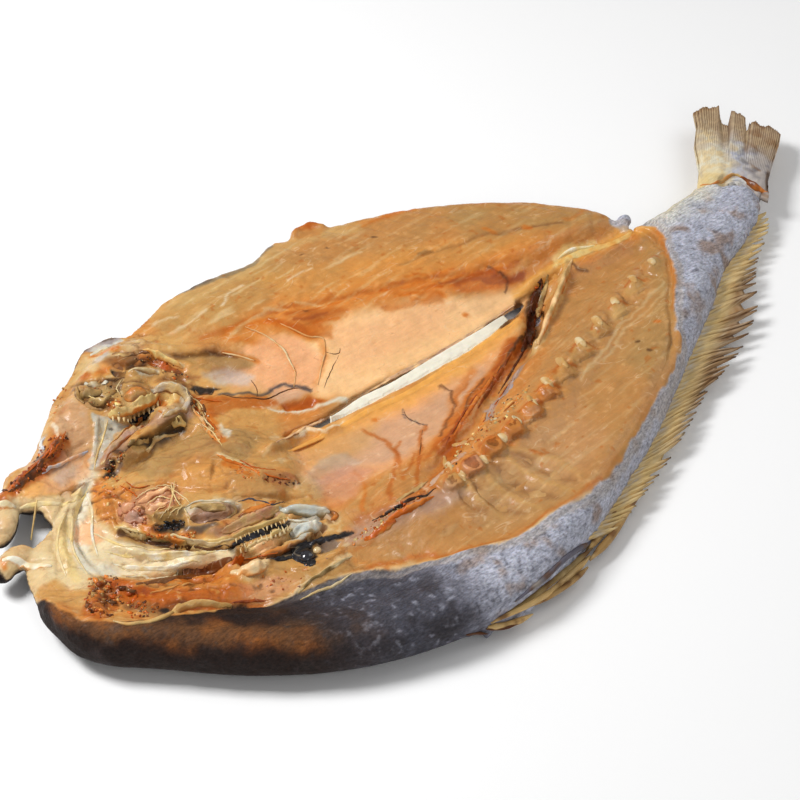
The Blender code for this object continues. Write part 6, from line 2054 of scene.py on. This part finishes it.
def makeCrumbs(name, areas, seed=33):
    # small lumps of dried flesh, half sunk where they lie
    rng = np.random.default_rng(seed)
    bm = bmesh.new()
    tones = []
    for outline, count, size, colours in areas:
        low, high = np.array(outline).min(0), np.array(outline).max(0)
        placed = 0
        while placed < count:
            at = low + (high - low) * rng.random(2)
            if insideOf(outline, at[:1], at[1:])[0] < 0.6:
                continue
            placed += 1
            radius = size * (0.4 + 0.7 * rng.random() ** 2)
            stretch = Matrix.Diagonal((0.7 + rng.random(), 0.7 + 0.5 * rng.random(), 0.5 + 0.4 * rng.random(), 1))
            turn = Matrix.Rotation(rng.random() * 6.3, 4, "Z") @ Matrix.Rotation(rng.normal() * 0.5, 4, "X")
            spot = onFish(*at)
            under = lookDown(spot.x, spot.y)[0]
            if under is None or abs(under.z - spot.z) > 1.0:
                continue
            place = Matrix.Translation(spot - Vector((0, 0, radius * 0.25))) @ turn @ stretch
            made = bmesh.ops.create_icosphere(bm, subdivisions=1, radius=radius, matrix=place)["verts"]
            shade = 0.75 + 0.4 * rng.random()
            for vert in made:
                vert.co += Vector(rng.normal(size=3)) * radius * 0.26
                tones.append(np.array(palette[colours[rng.integers(len(colours))] if rng.random() < 0.1
                                              else colours[placed % len(colours)]]) * shade)
    bmesh.ops.recalc_face_normals(bm, faces=bm.faces)
    setDown(bm)
    made = newObject(name, bm)
    paintPlain(made, np.array(tones))
    print(name, "triangles:", len(made.data.polygons))
    return made


threadSet = {
    "paleVessels": [
        ([(245, 327), (262, 334), (276, 343), (284, 350), (290, 362), (295, 372), (294, 387)], 0.42, 0.10),
        ([(268, 319), (290, 328), (310, 337), (322, 338), (325, 350), (322, 365), (318, 385)], 0.36, 0.08),
        ([(222, 353), (238, 356), (255, 361)], 0.4, 0.1),
    ],
    "darkVeins": [
        ([(326, 352), (334, 354), (339, 353), (340, 348)], 0.17, 0.0),
        ([(339, 355), (332, 369), (327, 380), (324, 388)], 0.15, -0.02),
        ([(222, 394), (238, 398), (252, 398), (266, 399), (280, 393), (290, 389), (313, 389)], 0.28, -0.04),
        ([(251, 380), (257, 390), (257, 397)], 0.17, 0.0),
        ([(404, 411), (406, 416), (413, 421), (424, 425)], 0.14, -0.02),
        ([(423, 427), (421, 440), (420, 453), (418, 470)], 0.14, -0.04),
    ],
    "creamFibres": [
        ([(171, 484), (174, 496), (180, 506)], 0.26, 0.5), ([(175, 482), (173, 496), (168, 512)], 0.24, 0.6),
        ([(168, 488), (178, 494), (190, 504)], 0.22, 0.6), ([(162, 486), (172, 490), (180, 500)], 0.2, 0.4),
        ([(150, 490), (164, 486), (176, 488)], 0.22, 0.4), ([(146, 506), (158, 498), (172, 500)], 0.2, 0.4),
        ([(135, 500), (146, 492), (160, 488)], 0.2, 0.3), ([(178, 502), (186, 512), (190, 520)], 0.2, 0.3),
        ([(152, 518), (158, 510), (166, 506)], 0.18, 0.3), ([(160, 519), (166, 511), (174, 507)], 0.18, 0.3),
        ([(168, 519), (174, 511), (182, 507)], 0.18, 0.3), ([(176, 516), (180, 509), (186, 505)], 0.18, 0.3),
        ([(216, 455), (232, 460), (246, 464), (256, 466)], 0.22, 0.1),
        ([(186, 388), (189, 400), (196, 408)], 0.26, 0.3), ([(190, 396), (200, 404), (206, 416)], 0.26, 0.3),
        ([(196, 412), (204, 420), (214, 430)], 0.3, 0.3), ([(200, 424), (212, 432), (222, 446)], 0.26, 0.2),
        ([(122, 380), (117, 387), (120, 395)], 0.24, 0.2), ([(84, 392), (92, 398), (104, 399)], 0.2, 0.2),
    ],
    "rustThreads": [
        ([(188, 400), (198, 410), (210, 422), (222, 438)], 0.3, 0.2),
        ([(194, 398), (208, 400), (222, 402)], 0.26, 0.1),
        ([(120, 486), (132, 492), (140, 502)], 0.26, 0.2), ([(126, 482), (136, 488), (150, 486)], 0.24, 0.2),
        ([(60, 436), (52, 448), (40, 462), (24, 476)], 0.4, 0.4), ([(66, 432), (58, 446), (46, 460)], 0.34, 0.4),
        ([(158, 396), (160, 404), (168, 409)], 0.26, 0.2), ([(244, 560), (262, 556), (286, 551)], 0.26, 0.1),
        ([(256, 470), (270, 476), (290, 480)], 0.3, 0.1), ([(240, 460), (256, 468), (276, 470)], 0.26, 0.1),
    ],
}


def makeHangingFibre():
    # one thin fibre that hangs free between the jaw's arm and the knob below it
    bm = bmesh.new()
    top = onFish(37, 500)
    low = atHeight(31, 540, 3.0)
    run = smoothRun([top, top.lerp(low, 0.5) + Vector((-1.0, -1.0, -0.6)), low], 14)
    tubeAlong(bm, run, [0.34] * 7 + [0.28] * 7, 7)
    bmesh.ops.recalc_face_normals(bm, faces=bm.faces)
    setDown(bm)
    made = newObject("hangingFibre", bm)
    points = drawingPoints(made.data)
    paintPlain(made, mixTones("butter", "straw", np.clip(0.5 + 0.5 * cloud(points, 3.0, 98), 0, 1)))
    return made


makeCamera()
makeLights()
makeFloor()
print("camera, light and floor are set")
grainGroup()
learnSurface(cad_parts["croaker"].data)
surface["plain"] = surface["tree"]
fishBody = roughBody()
learnSurface(fishBody.data)
layers = [makeLayer(name) for name in layerSet]
thinCovered(fishBody)
paintBody(fishBody)
sculptBody(fishBody)
fleshMaterial = fishMaterial("driedFlesh", fibre=0.28, mottle=0.55, coat=0.26, bump=0.50, skin=True, lines=1.0)
finishPiece(fishBody, fleshMaterial)
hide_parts("croaker")
for layer in layers:
    finishPiece(layer, fleshMaterial)
learnSurface(fishBody.data, *[layer.data for layer in layers])
print("body is shaped and painted")
finMaterial = fishMaterial("dryFin", fibre=0.5, mottle=0.5, coat=0.04, bump=0.6, soft=0.0)
boneMaterial = fishMaterial("dryBone", fibre=0.2, mottle=0.4, coat=0.2, bump=0.4, soft=0.05)
wetMaterial = fishMaterial("driedBone", fibre=0.3, mottle=0.6, coat=0.30, bump=0.50, soft=0.06, lines=0.6)
threadMaterial = fishMaterial("driedThread", fibre=0.2, mottle=0.4, coat=0.25, bump=0.3, soft=0.0)
tailFin = finishPiece(makeTailFin(), finMaterial)
learnSurface(fishBody.data, tailFin.data, *[layer.data for layer in layers])
finishPiece(makeStrips("tailCut", cutStrips), wetMaterial)
finishPiece(makeBackFin(), finMaterial)
finishPiece(makeSpines(), finMaterial)
print("fins are made")
finishPiece(makeStrips("slitMembrane", slitStrips), boneMaterial)
finishPiece(makeStrips("slitLips", lipStrips), wetMaterial)
finishPiece(makeStrips("backbone", spineStrips + tipStrips), wetMaterial)
finishPiece(makeStrips("headBones", headStrips), wetMaterial)
finishPiece(makeCrumbs("crumbs", crumbAreas), wetMaterial)
print("strips and crumbs are made")
finishPiece(makeTeeth(), boneMaterial)
finishPiece(makeBall("eyeBall"), plainGloss("eyeJelly", "soot", "ink", 0.12, 0.8, 300.0))
finishPiece(makeBall("eyeLens"), plainGloss("eyeCloud", "cream", "straw", 0.3, 0.5, 500.0))
for name, tone, second, wave, seed, slot in (("paleVessels", "orange", "cream", 0.05, 3, "flesh"),
                                             ("darkVeins", "umber", "brown", 0.05, 4, "flesh"),
                                             ("creamFibres", "cream", "butter", 0.10, 5, "bone"),
                                             ("rustThreads", "rust", "ember", 0.10, 6, "flesh")):
    finishPiece(makeThreads(name, threadSet[name], tone, second, wave, seed), threadMaterial)
finishPiece(makeHangingFibre(), threadMaterial)
print("teeth, eye and fibres are made")

bpy.context.scene.view_settings.view_transform = "Standard"
